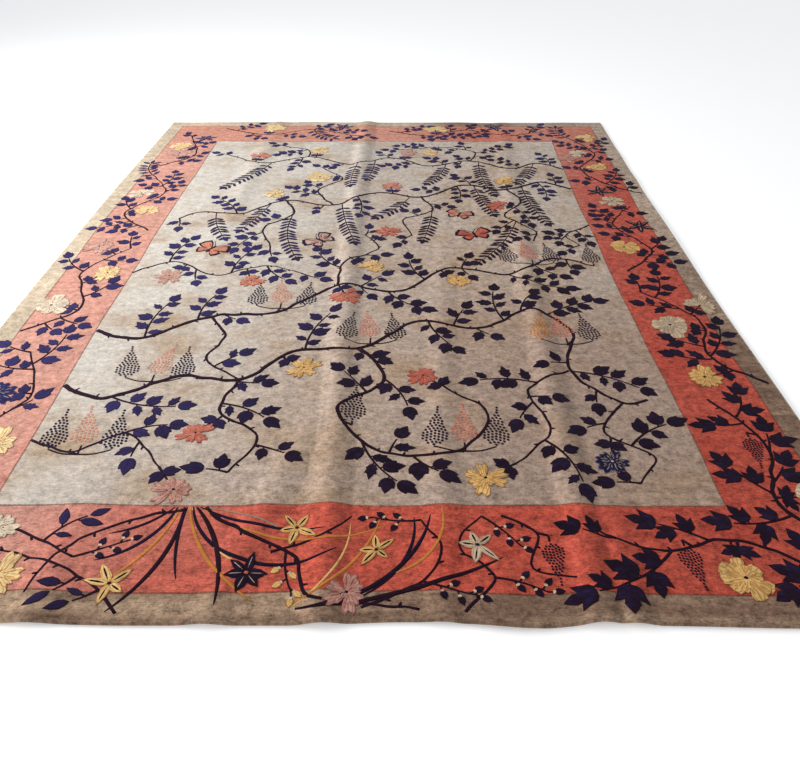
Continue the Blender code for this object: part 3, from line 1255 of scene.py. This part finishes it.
@dataclass
class Drawing:
    """The whole design, drawn on the flat cloth as strokes and stamps.

    Angles are in degrees. What stands in uneven is how far the maker's hand strays, and what a twig's
    thickness is multiplied by is its taper.
    """

    lie: Lie
    twig: float = 0.0036
    foot: float = 0.006
    bough_taper: float = 0.60
    bough_kink: float = 0.0055
    bough_rough: float = 0.14
    thorn_gap: float = 0.085
    thorn: float = 0.011
    sizes: tuple[float, ...] = (1.0, 0.72, 0.45)
    offsets: tuple[float, ...] = (0.0, -18.0, 18.0, -34.0, 32.0)
    sprig_turn: float = 56.0
    fits_well: float = 0.004
    spot_overlap: float = 0.0004
    leaf_turn: float = 60.0
    notched_share: float = 0.4
    far_leaf: float = 0.80
    full_leaf_until: float = -1.4
    far_leaf_from: float = 1.0
    slim_gap: float = 0.034
    slim_leaf: float = 0.056
    flower_twig: float = 0.070
    flower_leaf: Point = (0.054, 0.052)
    field_half: Point = (1.0, 1.46)
    peony: float = 0.138
    border_blossom: float = 0.122
    field_blossom: float = 0.108
    half_open_share: float = 0.34
    half_open_fan: float = 200.0
    stamens: int = 5
    frond_pitch: float = 0.031
    frond_leaf: Point = (0.052, 0.074)
    raceme_spacing: float = 0.094
    raceme_rows: int = 15
    raceme_half: float = 0.045
    raceme_swell: float = 0.30
    raceme_tip: float = 0.92
    tuft_pitch: float = 0.0136
    tuft_gap: float = 0.0130
    tuft_size: Point = (0.0074, 0.0058)
    bud_places: tuple[float, ...] = (0.3, 0.5, 0.7, 0.85, 1.0)
    bud_size: Point = (0.027, 0.032)
    sparse_from: float = -0.05
    order: tuple[str, ...] = ("nmo", "f", "gcpibvyw", "l", "se", "d")
    seed: int = 12
    strokes: dict[Dye, list[Stroke]] = field(default_factory=dict)
    stamps: dict[Dye, dict[Motif, list[Stamp]]] = field(default_factory=dict)

    def __post_init__(self) -> None:
        """Starts the maker's unevenness, the same each time, on bare ground."""
        self.chance = random.Random(self.seed)
        self.room = Room(self.lie.width / 2, self.lie.length / 2)

    def uneven(self, spread: float) -> float:
        """A small number up to spread, either way."""
        return self.chance.uniform(-spread, spread)

    def put(self, sprig: Sprig) -> None:
        """Knots a sprig into the cloth."""
        for dye, stroke in sprig.strokes:
            self.strokes.setdefault(dye, []).append(stroke)
        for motif, dye, stamp in sprig.stamps:
            self.stamps.setdefault(dye, {}).setdefault(motif, []).append(stamp)
        self.room.take(sprig.spots)

    def add(self, sprig: Sprig, motif: Motif, dye: Dye, spot: Point, heading: float, length: float,
            width: float, above: float = 0.0) -> None:
        """Adds a motif to a sprig, at its own slight height and tint."""
        height = above + self.chance.uniform(0.0, 0.0003)
        sprig.stamp(motif, dye, spot, heading, length, width, height, self.uneven(1.0))

    def bough(self, row: Bough) -> np.ndarray:
        """Draws a bough's own line and its thorns.

        Returns:
            Its points.
        """
        line = smoothed(row.points)
        kinks = np.array([[self.uneven(self.bough_kink), self.uneven(self.bough_kink)]
                          for _ in range(len(line) // 3 + 2)])
        spread = np.linspace(0.0, 1.0, len(kinks))
        share = np.linspace(0.0, 1.0, len(line))
        line = line + np.stack([np.interp(share, spread, kinks[:, axis]) for axis in (0, 1)], axis=1)
        half = row.width / 2
        radii = np.linspace(half, half * self.bough_taper, len(line))
        rough = np.array([1.0 + self.uneven(self.bough_rough) for _ in line])
        sprig = Sprig()
        sprig.line(Dye.PLUM, [tuple(point) for point in line], radii * rough, counted=0)
        for index in range(4, len(line) - 3, round(self.thorn_gap / STEP)):
            side = self.chance.choice((-1.0, 1.0))
            heading = self.forward(line, index) + side * (62.0 + self.uneven(14.0))
            reach = half * (1.0 - 0.6 * share[index]) + self.thorn + self.uneven(0.003)
            thorn = arc(tuple(line[index]), heading, reach, 16.0, STEP / 2)
            sprig.twig(thorn, self.twig * 1.3, self.twig * 0.7)
        self.put(sprig)
        return line

    @staticmethod
    def forward(line: np.ndarray, index: int) -> float:
        """The heading of a line at one of its points."""
        before, after = line[max(index - 2, 0)], line[min(index + 2, len(line) - 1)]
        return math.degrees(math.atan2(after[1] - before[1], after[0] - before[0]))

    @staticmethod
    def part_way(line: list[Point], share: float) -> Point:
        """The point of a line at a share of its length."""
        return line[min(round(share * (len(line) - 1)), len(line) - 1)]

    def dress(self, region: Region, row: Bough, line: np.ndarray, kinds: str) -> None:
        """Draws what a bough's letters stand for, if they are of these kinds."""
        for index, letter in enumerate(row.growth):
            growth = Growth(letter.lower())
            if growth.value not in kinds:
                continue
            at = min(round((index + 1.0) / len(row.growth) * (len(line) - 1)), len(line) - 1)
            side = 1.0 if letter.isupper() else -1.0
            tip = index == len(row.growth) - 1
            self.settle(region, row, growth, tuple(line[at]), self.forward(line, at), side, tip)

    def settle(self, region: Region, row: Bough, growth: Growth, spot: Point, forward: float, side: float,
               tip: bool) -> None:
        """Tries a growth at several headings, and smaller if it has to be, and keeps the first that fits.

        Args:
            region: The part of the rug, for how close leaves may come there.
            row: The bough, for its leaf and the way its racemes point.
            growth: What grows here.
            spot: Where it leaves the bough.
            forward: The bough's heading there.
            side: 1 to the bough's left, -1 to its right.
            tip: Whether it ends the bough, so that it may go straight on.
        """
        turns = [side * (self.sprig_turn + self.uneven(8.0) + offset) for offset in self.offsets]
        turns = ([8.0 * side, -22.0 * side] if tip else []) + turns + [-turn for turn in turns]
        in_field = region.boughs is FIELD_BOUGHS
        for size in self.sizes:
            tries = []
            for turn in turns:
                sprig = self.grown(row, growth, spot, forward + turn, math.copysign(1.0, turn), size)
                tries.append((self.room.crowding(sprig.spots, in_field), len(tries), sprig))
                if tries[-1][0] < self.fits_well:
                    break
            crowding, _, sprig = min(tries)
            if crowding < region.overlap + self.spot_overlap * len(sprig.spots):
                self.put(sprig)
                return
        log.debug("%s: no room for a %s at %.2f, %.2f", row.name, growth.name, *spot)

    def grown(self, row: Bough, growth: Growth, spot: Point, away: float, side: float, size: float) -> Sprig:
        """Makes the sprig that a growth stands for, at a heading and a size."""
        sprig = Sprig()
        if growth is Growth.LONG_SPRAY:
            leaves = round(3 + 4 * size + self.uneven(1.4))
            self.spray(sprig, spot, away, leaves, row.leaf, -side * 34.0)
        elif growth is Growth.SHORT_SPRAY:
            self.spray(sprig, spot, away, self.chance.choice((2, 3, 3, 4)), row.leaf, -side * 16.0)
        elif growth is Growth.SLIM_SPRAY:
            self.slim_spray(sprig, spot, away, round(3 + 3 * size), -side * 50.0)
        elif growth is Growth.FROND:
            heading = -95.0 + self.uneven(15.0)
            self.frond(sprig, spot, heading, (0.38 + self.uneven(0.10)) * size, self.uneven(34.0))
        elif growth is Growth.BUDS:
            self.buds(sprig, spot, away)
        elif growth in BLOSSOMS:
            self.blossom_on_twig(sprig, spot, away, row.leaf, *BLOSSOMS[growth])
        elif growth in RACEMES:
            dyes = RACEMES[growth][:max(1, round(len(RACEMES[growth]) * size))]
            self.racemes(sprig, spot, away, row.raceme_heading, dyes)
        return sprig

    def spray(self, sprig: Sprig, spot: Point, heading: float, leaves: int, leaf: Motif, bend: float) -> None:
        """A twig with leaves to either side in turn, and one at its tip."""
        length, width, gap = (measure * self.leaf_size(spot) for measure in LEAVES[leaf])
        line = arc(spot, heading, gap * leaves, bend)
        sprig.twig(line, self.twig * 1.25, self.twig * 0.7)
        for index in range(leaves - 1):
            share = (index + 1.0) / leaves
            at = self.part_way(line, share)
            side = 1.0 if index % 2 else -1.0
            turned = heading + bend * share + side * (self.leaf_turn + self.uneven(12.0))
            foot = ahead(*at, turned, 0.008)
            stalk = [at, foot, ahead(*foot, turned, self.foot)]
            sprig.twig(stalk, self.twig * 0.8, self.twig * 0.6, counted=3)
            reach = 0.92 + self.uneven(0.20)
            notched = leaf is Motif.TOOTHED_LEAF and self.chance.random() < self.notched_share
            kind = Motif.NOTCHED_LEAF if notched else leaf
            self.add(sprig, kind, Dye.NAVY, foot, turned + self.uneven(14.0), length * reach,
                     width * reach * (1.0 + self.uneven(0.12)), 0.0004)
        tip = ahead(*line[-1], heading + bend, self.foot)
        length *= 1.0 + self.uneven(0.12)
        self.add(sprig, leaf, Dye.NAVY, tip, heading + bend, length, width, 0.0004)

    def leaf_size(self, spot: Point) -> float:
        """How large a leaf is: full size near by, and smaller towards the far end."""
        run = self.far_leaf_from - self.full_leaf_until
        share = min(1.0, max(0.0, (spot[1] - self.full_leaf_until) / run))
        return 1.0 - (1.0 - self.far_leaf) * share

    def slim_spray(self, sprig: Sprig, spot: Point, heading: float, pairs: int, bend: float) -> None:
        """A curved twig with slim leaves in pairs."""
        line = arc(spot, heading, self.slim_gap * pairs, bend)
        sprig.twig(line, self.twig * 1.2, self.twig * 0.7)
        for index in range(1, pairs + 1):
            share = index / pairs
            at = self.part_way(line, share)
            for side in ((-1.0, 1.0) if index < pairs else (-1.0, 0.0, 1.0)):
                turned = heading + bend * share + side * (62.0 + self.uneven(6.0))
                self.add(sprig, Motif.SLIM_LEAF, Dye.NAVY, ahead(*at, turned, self.foot), turned,
                         self.slim_leaf, self.slim_leaf, 0.0003)

    def blossom_on_twig(self, sprig: Sprig, spot: Point, heading: float, leaf: Motif, dye: Dye,
                        petals: Motif) -> None:
        """A blossom at the end of a short twig, with a leaf on each side below it."""
        line = arc(spot, heading, self.flower_twig, self.uneven(24.0))
        sprig.twig(line, self.twig * 1.25, self.twig * 0.8)
        length, width = (measure * self.leaf_size(spot) for measure in self.flower_leaf)
        foot = line[len(line) // 3]
        for side in (-1.0, 1.0):
            self.add(sprig, leaf, Dye.NAVY, foot, heading + side * 68.0, length, width, 0.0004)
        in_border = abs(spot[0]) > self.field_half[0] or abs(spot[1]) > self.field_half[1]
        size = self.border_blossom if in_border else self.field_blossom
        if petals is Motif.RUFFLED_PETAL:
            size = self.peony
        size *= 1.0 + self.uneven(0.10)
        half_open = petals is Motif.NOTCHED_PETAL and self.chance.random() < self.half_open_share
        middle = ahead(*line[-1], heading, size * (0.10 if half_open else 0.38))
        self.blossom(sprig, Bloom(*middle, size, dye, petals), heading if half_open else None)

    @staticmethod
    def whorls(row: Bloom) -> tuple[Whorl, ...]:
        """The rings of petals that a flower has."""
        if row.petals is Motif.POINTED_PETAL:
            return (STAR_WHORL._replace(count=6),) if row.dye is Dye.NAVY else (STAR_WHORL,)
        if row.petals is Motif.RUFFLED_PETAL:
            return PEONY_WHORLS
        return FULL_WHORLS if row.dye in (Dye.CORAL, Dye.ROSE) or row.size < 0.13 else OPEN_WHORLS

    def blossom(self, sprig: Sprig, row: Bloom, facing: float | None = None) -> None:
        """A flower: its petals, whorl on whorl, its eye and its stamens.

        Args:
            sprig: What it belongs to.
            row: Its place, size, dye and petals.
            facing: Where a half-open flower opens to. None is for one that is seen from above.
        """
        first = self.uneven(180.0)
        spot = (row.x, row.y)
        sprig.spots.append((*spot, row.size * 0.36))
        for whorl in self.whorls(row):
            first += 180.0 / whorl.count
            for index in range(whorl.count):
                heading = first + 360.0 * index / whorl.count + self.uneven(13.0)
                length = row.size * whorl.reach * (1.0 + self.uneven(0.24))
                if facing is not None:
                    share = index / (whorl.count - 1)
                    heading = facing + self.half_open_fan * (share - 0.5) + self.uneven(7.0)
                    length *= 1.35 - 0.35 * abs(2.0 * share - 1.0)
                width = row.size * whorl.width * (1.0 + self.uneven(0.18))
                self.add(sprig, row.petals, row.dye, spot, heading, length, width, 0.0006 + whorl.above)
                self.dabs(sprig, row, spot, heading, length, whorl.above)
        eye = {Dye.NAVY: Dye.CORAL, Dye.PEONY_NAVY: Dye.IVORY}.get(row.dye, Dye.INK)
        self.add(sprig, Motif.DOT, eye, spot, 0.0, row.size * 0.065, row.size * 0.050, 0.0019)
        if row.petals is not Motif.POINTED_PETAL:
            for index in range(self.stamens):
                tip = ahead(*spot, first + 360.0 / self.stamens * index, row.size * 0.15)
                self.add(sprig, Motif.DOT, Dye.PLUM, tip, 0.0, 0.0032, 0.0026, 0.0016)

    def dabs(self, sprig: Sprig, row: Bloom, spot: Point, heading: float, length: float,
             above: float) -> None:
        """Draws the short lines of a second wool on a petal."""
        above += 0.0014
        if row.petals is Motif.POINTED_PETAL:
            foot = ahead(*spot, heading, length * 0.20)
            dye, width = (Dye.IVORY, 0.12) if row.dye is Dye.NAVY else (Dye.PLUM, 0.26)
            self.add(sprig, Motif.LEAFLET, dye, foot, heading, length * 0.58, row.size * width, above)
            return
        for side in (-1.0, 1.0):
            foot = ahead(*spot, heading, length * (0.40 + self.uneven(0.06)))
            foot = ahead(*foot, heading + 90.0, side * row.size * 0.045)
            turned = heading + side * 9.0 + self.uneven(8.0)
            self.add(sprig, Motif.LEAFLET, SECOND_DYES[row.dye], foot, turned,
                     length * (0.34 + self.uneven(0.08)), row.size * 0.13, above)

    def frond(self, sprig: Sprig, spot: Point, heading: float, length: float, bend: float) -> None:
        """A hanging frond: a long stalk with slim leaflets in pairs, shorter towards its ends."""
        line = arc(spot, heading, length, bend)
        sprig.twig(line, self.twig * 0.8, self.twig * 0.5)
        pairs = round(length / self.frond_pitch)
        longest, width = self.frond_leaf
        for index in range(2, pairs + 1):
            share = index / pairs
            at = self.part_way(line, share)
            reach = longest * math.sin(math.pi * (0.18 + 0.66 * share)) ** 0.55
            for side in (-1.0, 1.0):
                turned = heading + bend * share + side * (54.0 + self.uneven(6.0))
                self.add(sprig, Motif.LEAFLET, Dye.NAVY, at, turned, reach, width, 0.0001)
        self.add(sprig, Motif.SLIM_LEAF, Dye.NAVY, line[-1], heading + bend, 0.042, 0.066, 0.0003)

    def racemes(self, sprig: Sprig, spot: Point, away: float, heading: float, dyes: tuple[Dye, ...]) -> None:
        """A forked twig that ends in one to three clusters of small tufts."""
        fork = ahead(*spot, away, 0.030)
        sprig.twig([spot, ahead(*spot, away, 0.015), fork], self.twig * 1.3, self.twig * 1.1)
        for index, dye in enumerate(dyes):
            offset = (index - (len(dyes) - 1) / 2) * self.raceme_spacing
            rise = 0.038 if len(dyes) == 3 and index == 1 else 0.020
            foot = ahead(*ahead(*fork, heading, rise), heading - 90.0, offset)
            middle = ahead((fork[0] + foot[0]) / 2, (fork[1] + foot[1]) / 2, heading, -0.008)
            stalk = [tuple(point) for point in smoothed((fork, middle, foot), 0.008)]
            sprig.twig(stalk, self.twig, self.twig * 0.8)
            self.raceme(sprig, foot, heading + self.uneven(9.0), dye, 0.92 if heading > 0.0 else 0.66)

    def raceme(self, sprig: Sprig, foot: Point, heading: float, dye: Dye, size: float) -> None:
        """A cluster of small tufts in slanting rows: wide near its foot, one tuft wide at its tip."""
        pitch, gap = self.tuft_pitch * size, self.tuft_gap * size
        length, width = self.tuft_size
        lean = self.uneven(0.05)
        for index in range(self.raceme_rows):
            share = index / (self.raceme_rows - 1)
            if share < self.raceme_swell:
                fullness = math.sin(math.pi * share / (2 * self.raceme_swell)) ** 0.8
            else:
                fullness = max(0.0, (self.raceme_tip - share) / (self.raceme_tip - self.raceme_swell)) ** 0.9
            half = self.raceme_half * size * fullness
            count = max(1, round(2 * half / gap + 0.5 * (index % 2)))
            for place in range(count):
                offset = (place - (count - 1) / 2) * gap
                spot = ahead(*foot, heading, 0.008 + pitch * index - abs(offset) * 0.30)
                spot = ahead(*spot, heading + 90.0, offset + lean * 0.2 * share**2)
                self.add(sprig, Motif.DOT, dye, spot, heading + 30.0, length * size, width * size)

    def buds(self, sprig: Sprig, spot: Point, heading: float) -> None:
        """A twig with small closed buds."""
        line = arc(spot, heading, 0.13, self.uneven(50.0))
        sprig.twig(line, self.twig * 1.1, self.twig * 0.6)
        dye = self.chance.choice((Dye.NAVY, Dye.NAVY, Dye.GOLD))
        for index, share in enumerate(self.bud_places):
            at = self.part_way(line, share)
            turned = heading + ((50.0 if index % 2 else -50.0) if share < 1.0 else 0.0)
            tip = ahead(*at, turned, 0.016)
            sprig.twig([at, tip], self.twig * 0.8, self.twig * 0.6)
            self.add(sprig, Motif.BUD, dye, tip, turned, *self.bud_size, 0.0004)
            self.add(sprig, Motif.DOT, Dye.IVORY, tip, turned, 0.005, 0.007, 0.0010)

    def blade(self, sprig: Sprig, row: Blade) -> None:
        """A grass leaf, thin at both ends."""
        points = arc((row.x, row.y), row.heading, row.length, row.bend)
        share = np.linspace(0.06, 0.99, len(points))
        sprig.line(row.dye, points, row.width / 2 * np.sin(math.pi * share) ** 0.5)

    def butterfly(self, sprig: Sprig, row: Butterfly) -> None:
        """Four wings with dark edges, a body and two feelers."""
        spot = (row.x, row.y)
        for side in (-1.0, 1.0):
            for turn, reach, above in ((58.0, 0.50, 0.0), (118.0, 0.36, 0.0003)):
                heading, wing = row.heading + side * turn, row.span * reach
                inner = ahead(*spot, heading, row.span * 0.02)
                self.add(sprig, Motif.WING, row.edge, spot, heading, wing * 1.10, wing * 1.05, above)
                self.add(sprig, Motif.WING, row.wings, inner, heading, wing * 0.88, wing * 0.78,
                         above + 0.0007)
                for fan in (-13.0, 13.0):
                    foot = ahead(*spot, heading + fan, wing * 0.26)
                    self.add(sprig, Motif.LEAFLET, row.edge, foot, heading + fan, wing * 0.46,
                             row.span * 0.13, above + 0.0013)
            brow = ahead(*spot, row.heading, row.span * 0.12)
            sprig.twig(arc(brow, row.heading + side * 16.0, row.span * 0.40, side * 44.0), 0.0018, 0.0012)
        tail = ahead(*spot, row.heading, -row.span * 0.20)
        length, width = row.span * 0.42, row.span * 0.26
        self.add(sprig, Motif.SLIM_LEAF, row.edge, tail, row.heading, length, width, 0.0012)

    def draw(self) -> None:
        """Draws the boughs, the tuft and the loose motifs, then what grows, and fills what is left."""
        lines = [(region, row, self.bough(row)) for region in REGIONS for row in region.boughs]
        loose = Sprig()
        for row in TUFT:
            self.blade(loose, row)
        for row in LOOSE_BLOOMS:
            self.blossom(loose, row)
        for row in BUTTERFLIES:
            self.butterfly(loose, row)
        self.put(loose)
        for kinds in self.order:
            for region, row, line in lines:
                self.dress(region, row, line, kinds)
        for region, row, line in lines:
            for index in range(6, len(line) - 2, round(region.fill_gap / STEP)):
                side = 1.0 if index % 2 else -1.0
                if region.boughs is FIELD_BOUGHS and line[index][0] < self.sparse_from:
                    continue
                growth = self.chance.choice((Growth.LONG_SPRAY, Growth.SHORT_SPRAY))
                self.settle(region, row, growth, tuple(line[index]), self.forward(line, index), side, False)


@dataclass
class Cloth:
    """The rug's ground: one laid sheet with its creases, its thickness and its rounded edge."""

    lie: Lie
    finish: GroundFinish = GroundFinish()
    columns: int = 228
    rows: int = 122
    edge_round: float = 0.004
    edge_steps: int = 3
    edge_sharper_than: float = math.radians(60)
    smooth_below: float = math.radians(50)

    def build(self) -> Object:
        """Models the sheet.

        Returns:
            The finished piece.
        """
        deselect()
        bpy.ops.mesh.primitive_grid_add(x_subdivisions=self.columns, y_subdivisions=self.rows, size=1.0)
        cloth = bpy.context.active_object
        cloth.name = "rug_pile"
        mesh = cloth.data
        flat = np.zeros(len(mesh.vertices) * 3)
        mesh.vertices.foreach_get("co", flat)
        x = flat[0::3] * self.lie.width
        y = flat[1::3] * self.lie.length
        lay_map(mesh, Bench.FLAT, np.stack([x, y], axis=1))
        # The slope at each point, which paints the light and shade of the lamp on the left into the ground's
        # colour.
        slope = mesh.attributes.new("slope", "FLOAT", "POINT")
        slope.data.foreach_set("value", self.lie.slope(x, y).astype(np.float32))
        laid = self.lie.place(x, y, 0.0)
        mesh.vertices.foreach_set("co", laid.astype(np.float32).ravel())
        self.thicken(cloth)
        self.lift_pile(cloth)
        bpy.ops.object.shade_smooth_by_angle(angle=self.smooth_below)
        cloth.data.materials.clear()
        cloth.data.materials.append(self.finish.dress(self.lie))
        return cloth

    def thicken(self, cloth: Object) -> None:
        """Gives the sheet its pile and rounds its edge."""
        pile = cloth.modifiers.new("pile", "SOLIDIFY")
        pile.thickness = self.lie.thickness
        pile.offset = 1.0
        edge = cloth.modifiers.new("edge", "BEVEL")
        edge.width = self.edge_round
        edge.segments = self.edge_steps
        edge.limit_method = "ANGLE"
        edge.angle_limit = self.edge_sharper_than
        for modifier in (pile.name, edge.name):
            bpy.ops.object.modifier_apply(modifier=modifier)

    def lift_pile(self, cloth: Object) -> None:
        """Clips the top of the pile as unevenly as shears do, and leaves the underside alone."""
        mesh = cloth.data
        spots = np.zeros(len(mesh.vertices) * 3)
        mesh.vertices.foreach_get("co", spots)
        spots = spots.reshape(-1, 3)
        x, y = spots[:, 0] - self.lie.shift[0], spots[:, 1] - self.lie.shift[1]
        share = np.clip((spots[:, 2] - self.lie.lift(x, y)) / self.lie.thickness, 0.0, 1.0)
        spots[:, 2] += share * self.lie.waver(x, y)
        mesh.vertices.foreach_set("co", spots.astype(np.float32).ravel())
        mesh.update()


def lay_map(mesh: bpy.types.Mesh, name: str, spots: np.ndarray) -> None:
    """Gives a mesh a UV map that holds two numbers of each of its points."""
    layer = mesh.uv_layers.new(name=name)
    corners = np.zeros(len(mesh.loops), np.int32)
    mesh.loops.foreach_get("vertex_index", corners)
    layer.data.foreach_set("uv", spots[corners].astype(np.float32).ravel())


@dataclass
class Knotting:
    """Turns the drawing into wool: one piece of drawn lines and one of stamped motifs for each dye."""

    lie: Lie
    drawing: Drawing
    line_base: float = 0.0003
    line_flatness: float = 0.17
    merged_within: float = 0.00002

    def build(self) -> list[Object]:
        """Makes the pieces of every dye.

        Returns:
            The pieces, lines first.
        """
        shapes = {motif: motif.value.model() for motif in Motif}
        finishes = {dye: dye.value.dress() for dye in Dye}
        pieces = []
        for dye, strokes in self.drawing.strokes.items():
            pieces.append(self.lines(dye, strokes))
            pieces[-1].data.materials.append(finishes[dye])
        for dye, motifs in self.drawing.stamps.items():
            pieces.append(self.stamped(dye, motifs, shapes))
            pieces[-1].data.materials.append(finishes[dye])
        return pieces

    def lines(self, dye: Dye, strokes: list[Stroke]) -> Object:
        """Models the drawn lines of one dye as flattened tubes that lie on the pile."""
        curve = bpy.data.curves.new("lines_" + dye.value.name, "CURVE")
        curve.dimensions = "3D"
        curve.bevel_depth = 1.0
        curve.bevel_resolution = 1
        curve.use_fill_caps = True
        for stroke in strokes:
            spline = curve.splines.new("POLY")
            spline.points.add(len(stroke.points) - 1)
            for point, spot, radius in zip(spline.points, stroke.points, stroke.radii):
                point.co = (spot[0], spot[1], 0.0, 1.0)
                point.radius = radius
        drawn = bpy.data.objects.new(curve.name, curve)
        bpy.context.scene.collection.objects.link(drawn)
        deselect()
        drawn.select_set(True)
        bpy.context.view_layer.objects.active = drawn
        bpy.ops.object.convert(target="MESH")
        piece = bpy.context.active_object
        mesh = piece.data
        spots = np.zeros(len(mesh.vertices) * 3)
        mesh.vertices.foreach_get("co", spots)
        spots = spots.reshape(-1, 3)
        lay_map(mesh, Bench.FLAT, spots[:, :2])
        laid = self.lie.on_pile(spots[:, 0], spots[:, 1], spots[:, 2] * self.line_flatness + self.line_base)
        mesh.vertices.foreach_set("co", laid.astype(np.float32).ravel())
        bpy.ops.object.mode_set(mode="EDIT")
        bpy.ops.mesh.select_all(action="SELECT")
        bpy.ops.mesh.remove_doubles(threshold=self.merged_within)
        bpy.ops.object.mode_set(mode="OBJECT")
        bpy.ops.object.shade_smooth()
        return piece

    def stamped(self, dye: Dye, motifs: dict[Motif, list[Stamp]], shapes: dict[Motif, Shape]) -> Object:
        """Joins every copy of one dye's motifs into one piece.

        Args:
            dye: The wool.
            motifs: The copies of each motif.
            shapes: The mesh of each motif.

        Returns:
            The piece.
        """
        spots, laid, faces, chart, rim, tint = [], [], [], [], [], []
        count = 0
        for motif, stamps in motifs.items():
            shape = shapes[motif]
            for row in stamps:
                angle = math.radians(row.heading)
                along, across = shape.points[:, 0] * row.length, shape.points[:, 1] * row.width
                x = row.x + along * math.cos(angle) - across * math.sin(angle)
                y = row.y + along * math.sin(angle) + across * math.cos(angle)
                spots.append(np.stack([x, y], axis=1))
                laid.append(self.lie.on_pile(x, y, shape.points[:, 2] + row.above))
                faces.extend(tuple(corner + count for corner in face) for face in shape.faces)
                chart.append(shape.chart)
                rim.append(shape.rim)
                tint.append(np.full(len(x), row.tint))
                count += len(x)
        mesh = bpy.data.meshes.new("motifs_" + dye.value.name)
        mesh.from_pydata(np.concatenate(laid).tolist(), [], faces)
        lay_map(mesh, Bench.FLAT, np.concatenate(spots))
        lay_map(mesh, Bench.CHART, np.concatenate(chart))
        for name, values in (("rim", rim), ("tint", tint)):
            held = mesh.attributes.new(name, "FLOAT", "POINT")
            held.data.foreach_set("value", np.concatenate(values).astype(np.float32))
        piece = bpy.data.objects.new(mesh.name, mesh)
        bpy.context.scene.collection.objects.link(piece)
        return piece


@dataclass
class Studio:
    """The pale floor, the soft light from the left and the camera."""

    floor_size: float = 40.0
    floor_drop: float = 0.0004
    floor_colour: Triple = (0.90, 0.90, 0.90)
    floor_glow: float = 0.30
    sky_colour: Triple = (0.95, 0.97, 1.0)
    sky_strength: float = 0.62
    lamp_place: Triple = (-3.5, 0.3, 2.1)
    lamp_size: Point = (3.2, 1.8)
    lamp_power: float = 190.0
    lamp_colour: Triple = (1.0, 0.965, 0.92)
    camera_place: Triple = (0.0952, -2.7855, 1.4505)
    camera_pitch: float = 37.64
    camera_roll: float = -0.083
    camera_yaw: float = -0.045
    lens: float = 31.78
    sensor: float = 36.0

    def floor(self) -> Object:
        """Lays a pale floor just under the rug."""
        deselect()
        bpy.ops.mesh.primitive_plane_add(size=self.floor_size, location=(0.0, 0.0, -self.floor_drop))
        floor = bpy.context.active_object
        floor.name = "floor"
        material = bpy.data.materials.new("pale_floor")
        material.use_nodes = True
        shader = material.node_tree.nodes["Principled BSDF"]
        shader.inputs["Base Color"].default_value = (*self.floor_colour, 1.0)
        shader.inputs["Roughness"].default_value = 1.0
        shader.inputs["Specular IOR Level"].default_value = 0.0
        shader.inputs["Emission Color"].default_value = (1.0, 1.0, 1.0, 1.0)
        shader.inputs["Emission Strength"].default_value = self.floor_glow
        floor.data.materials.append(material)
        return floor

    def light(self) -> None:
        """Hangs one wide lamp to the left and a pale sky over everything."""
        world = bpy.data.worlds.new("pale_sky")
        world.use_nodes = True
        sky = world.node_tree.nodes["Background"]
        sky.inputs["Color"].default_value = (*self.sky_colour, 1.0)
        sky.inputs["Strength"].default_value = self.sky_strength
        bpy.context.scene.world = world
        lamp = bpy.data.lights.new("wide_lamp", "AREA")
        lamp.shape = "RECTANGLE"
        lamp.size, lamp.size_y = self.lamp_size
        lamp.energy = self.lamp_power
        lamp.color = self.lamp_colour
        holder = bpy.data.objects.new("wide_lamp", lamp)
        holder.location = self.lamp_place
        away = -holder.location
        holder.rotation_euler = away.to_track_quat("-Z", "Y").to_euler()
        bpy.context.scene.collection.objects.link(holder)

    def camera(self) -> None:
        """Stands the camera where a person holds it, looking down along the rug."""
        data = bpy.data.cameras.new("camera")
        data.lens = self.lens
        data.sensor_width = self.sensor
        data.sensor_fit = "HORIZONTAL"
        holder = bpy.data.objects.new("camera", data)
        holder.location = self.camera_place
        turns = (90.0 - self.camera_pitch, self.camera_roll, self.camera_yaw)
        holder.rotation_euler = tuple(math.radians(turn) for turn in turns)
        bpy.context.scene.collection.objects.link(holder)
        bpy.context.scene.camera = holder

    def colours(self) -> None:
        """Shows the colours as they are, without a film curve."""
        bpy.context.scene.view_settings.view_transform = "Standard"


def main() -> None:
    """Builds the studio, the cloth and its motifs, and says what rides on what."""
    logging.basicConfig(level=logging.INFO, format="%(name)s: %(message)s")
    studio = Studio()
    studio.camera()
    studio.light()
    studio.colours()
    floor = studio.floor()

    lie = Lie()
    cloth = Cloth(lie).build()
    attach(cloth, BODY)
    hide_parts(NODE)
    log.info("%s: %d faces", cloth.name, len(cloth.data.polygons))

    drawing = Drawing(lie)
    drawing.draw()
    pieces = Knotting(lie, drawing).build()
    for piece in pieces:
        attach(piece, BODY)
        log.info("%s: %d faces", piece.name, len(piece.data.polygons))


if __name__ == "__main__":
    main()
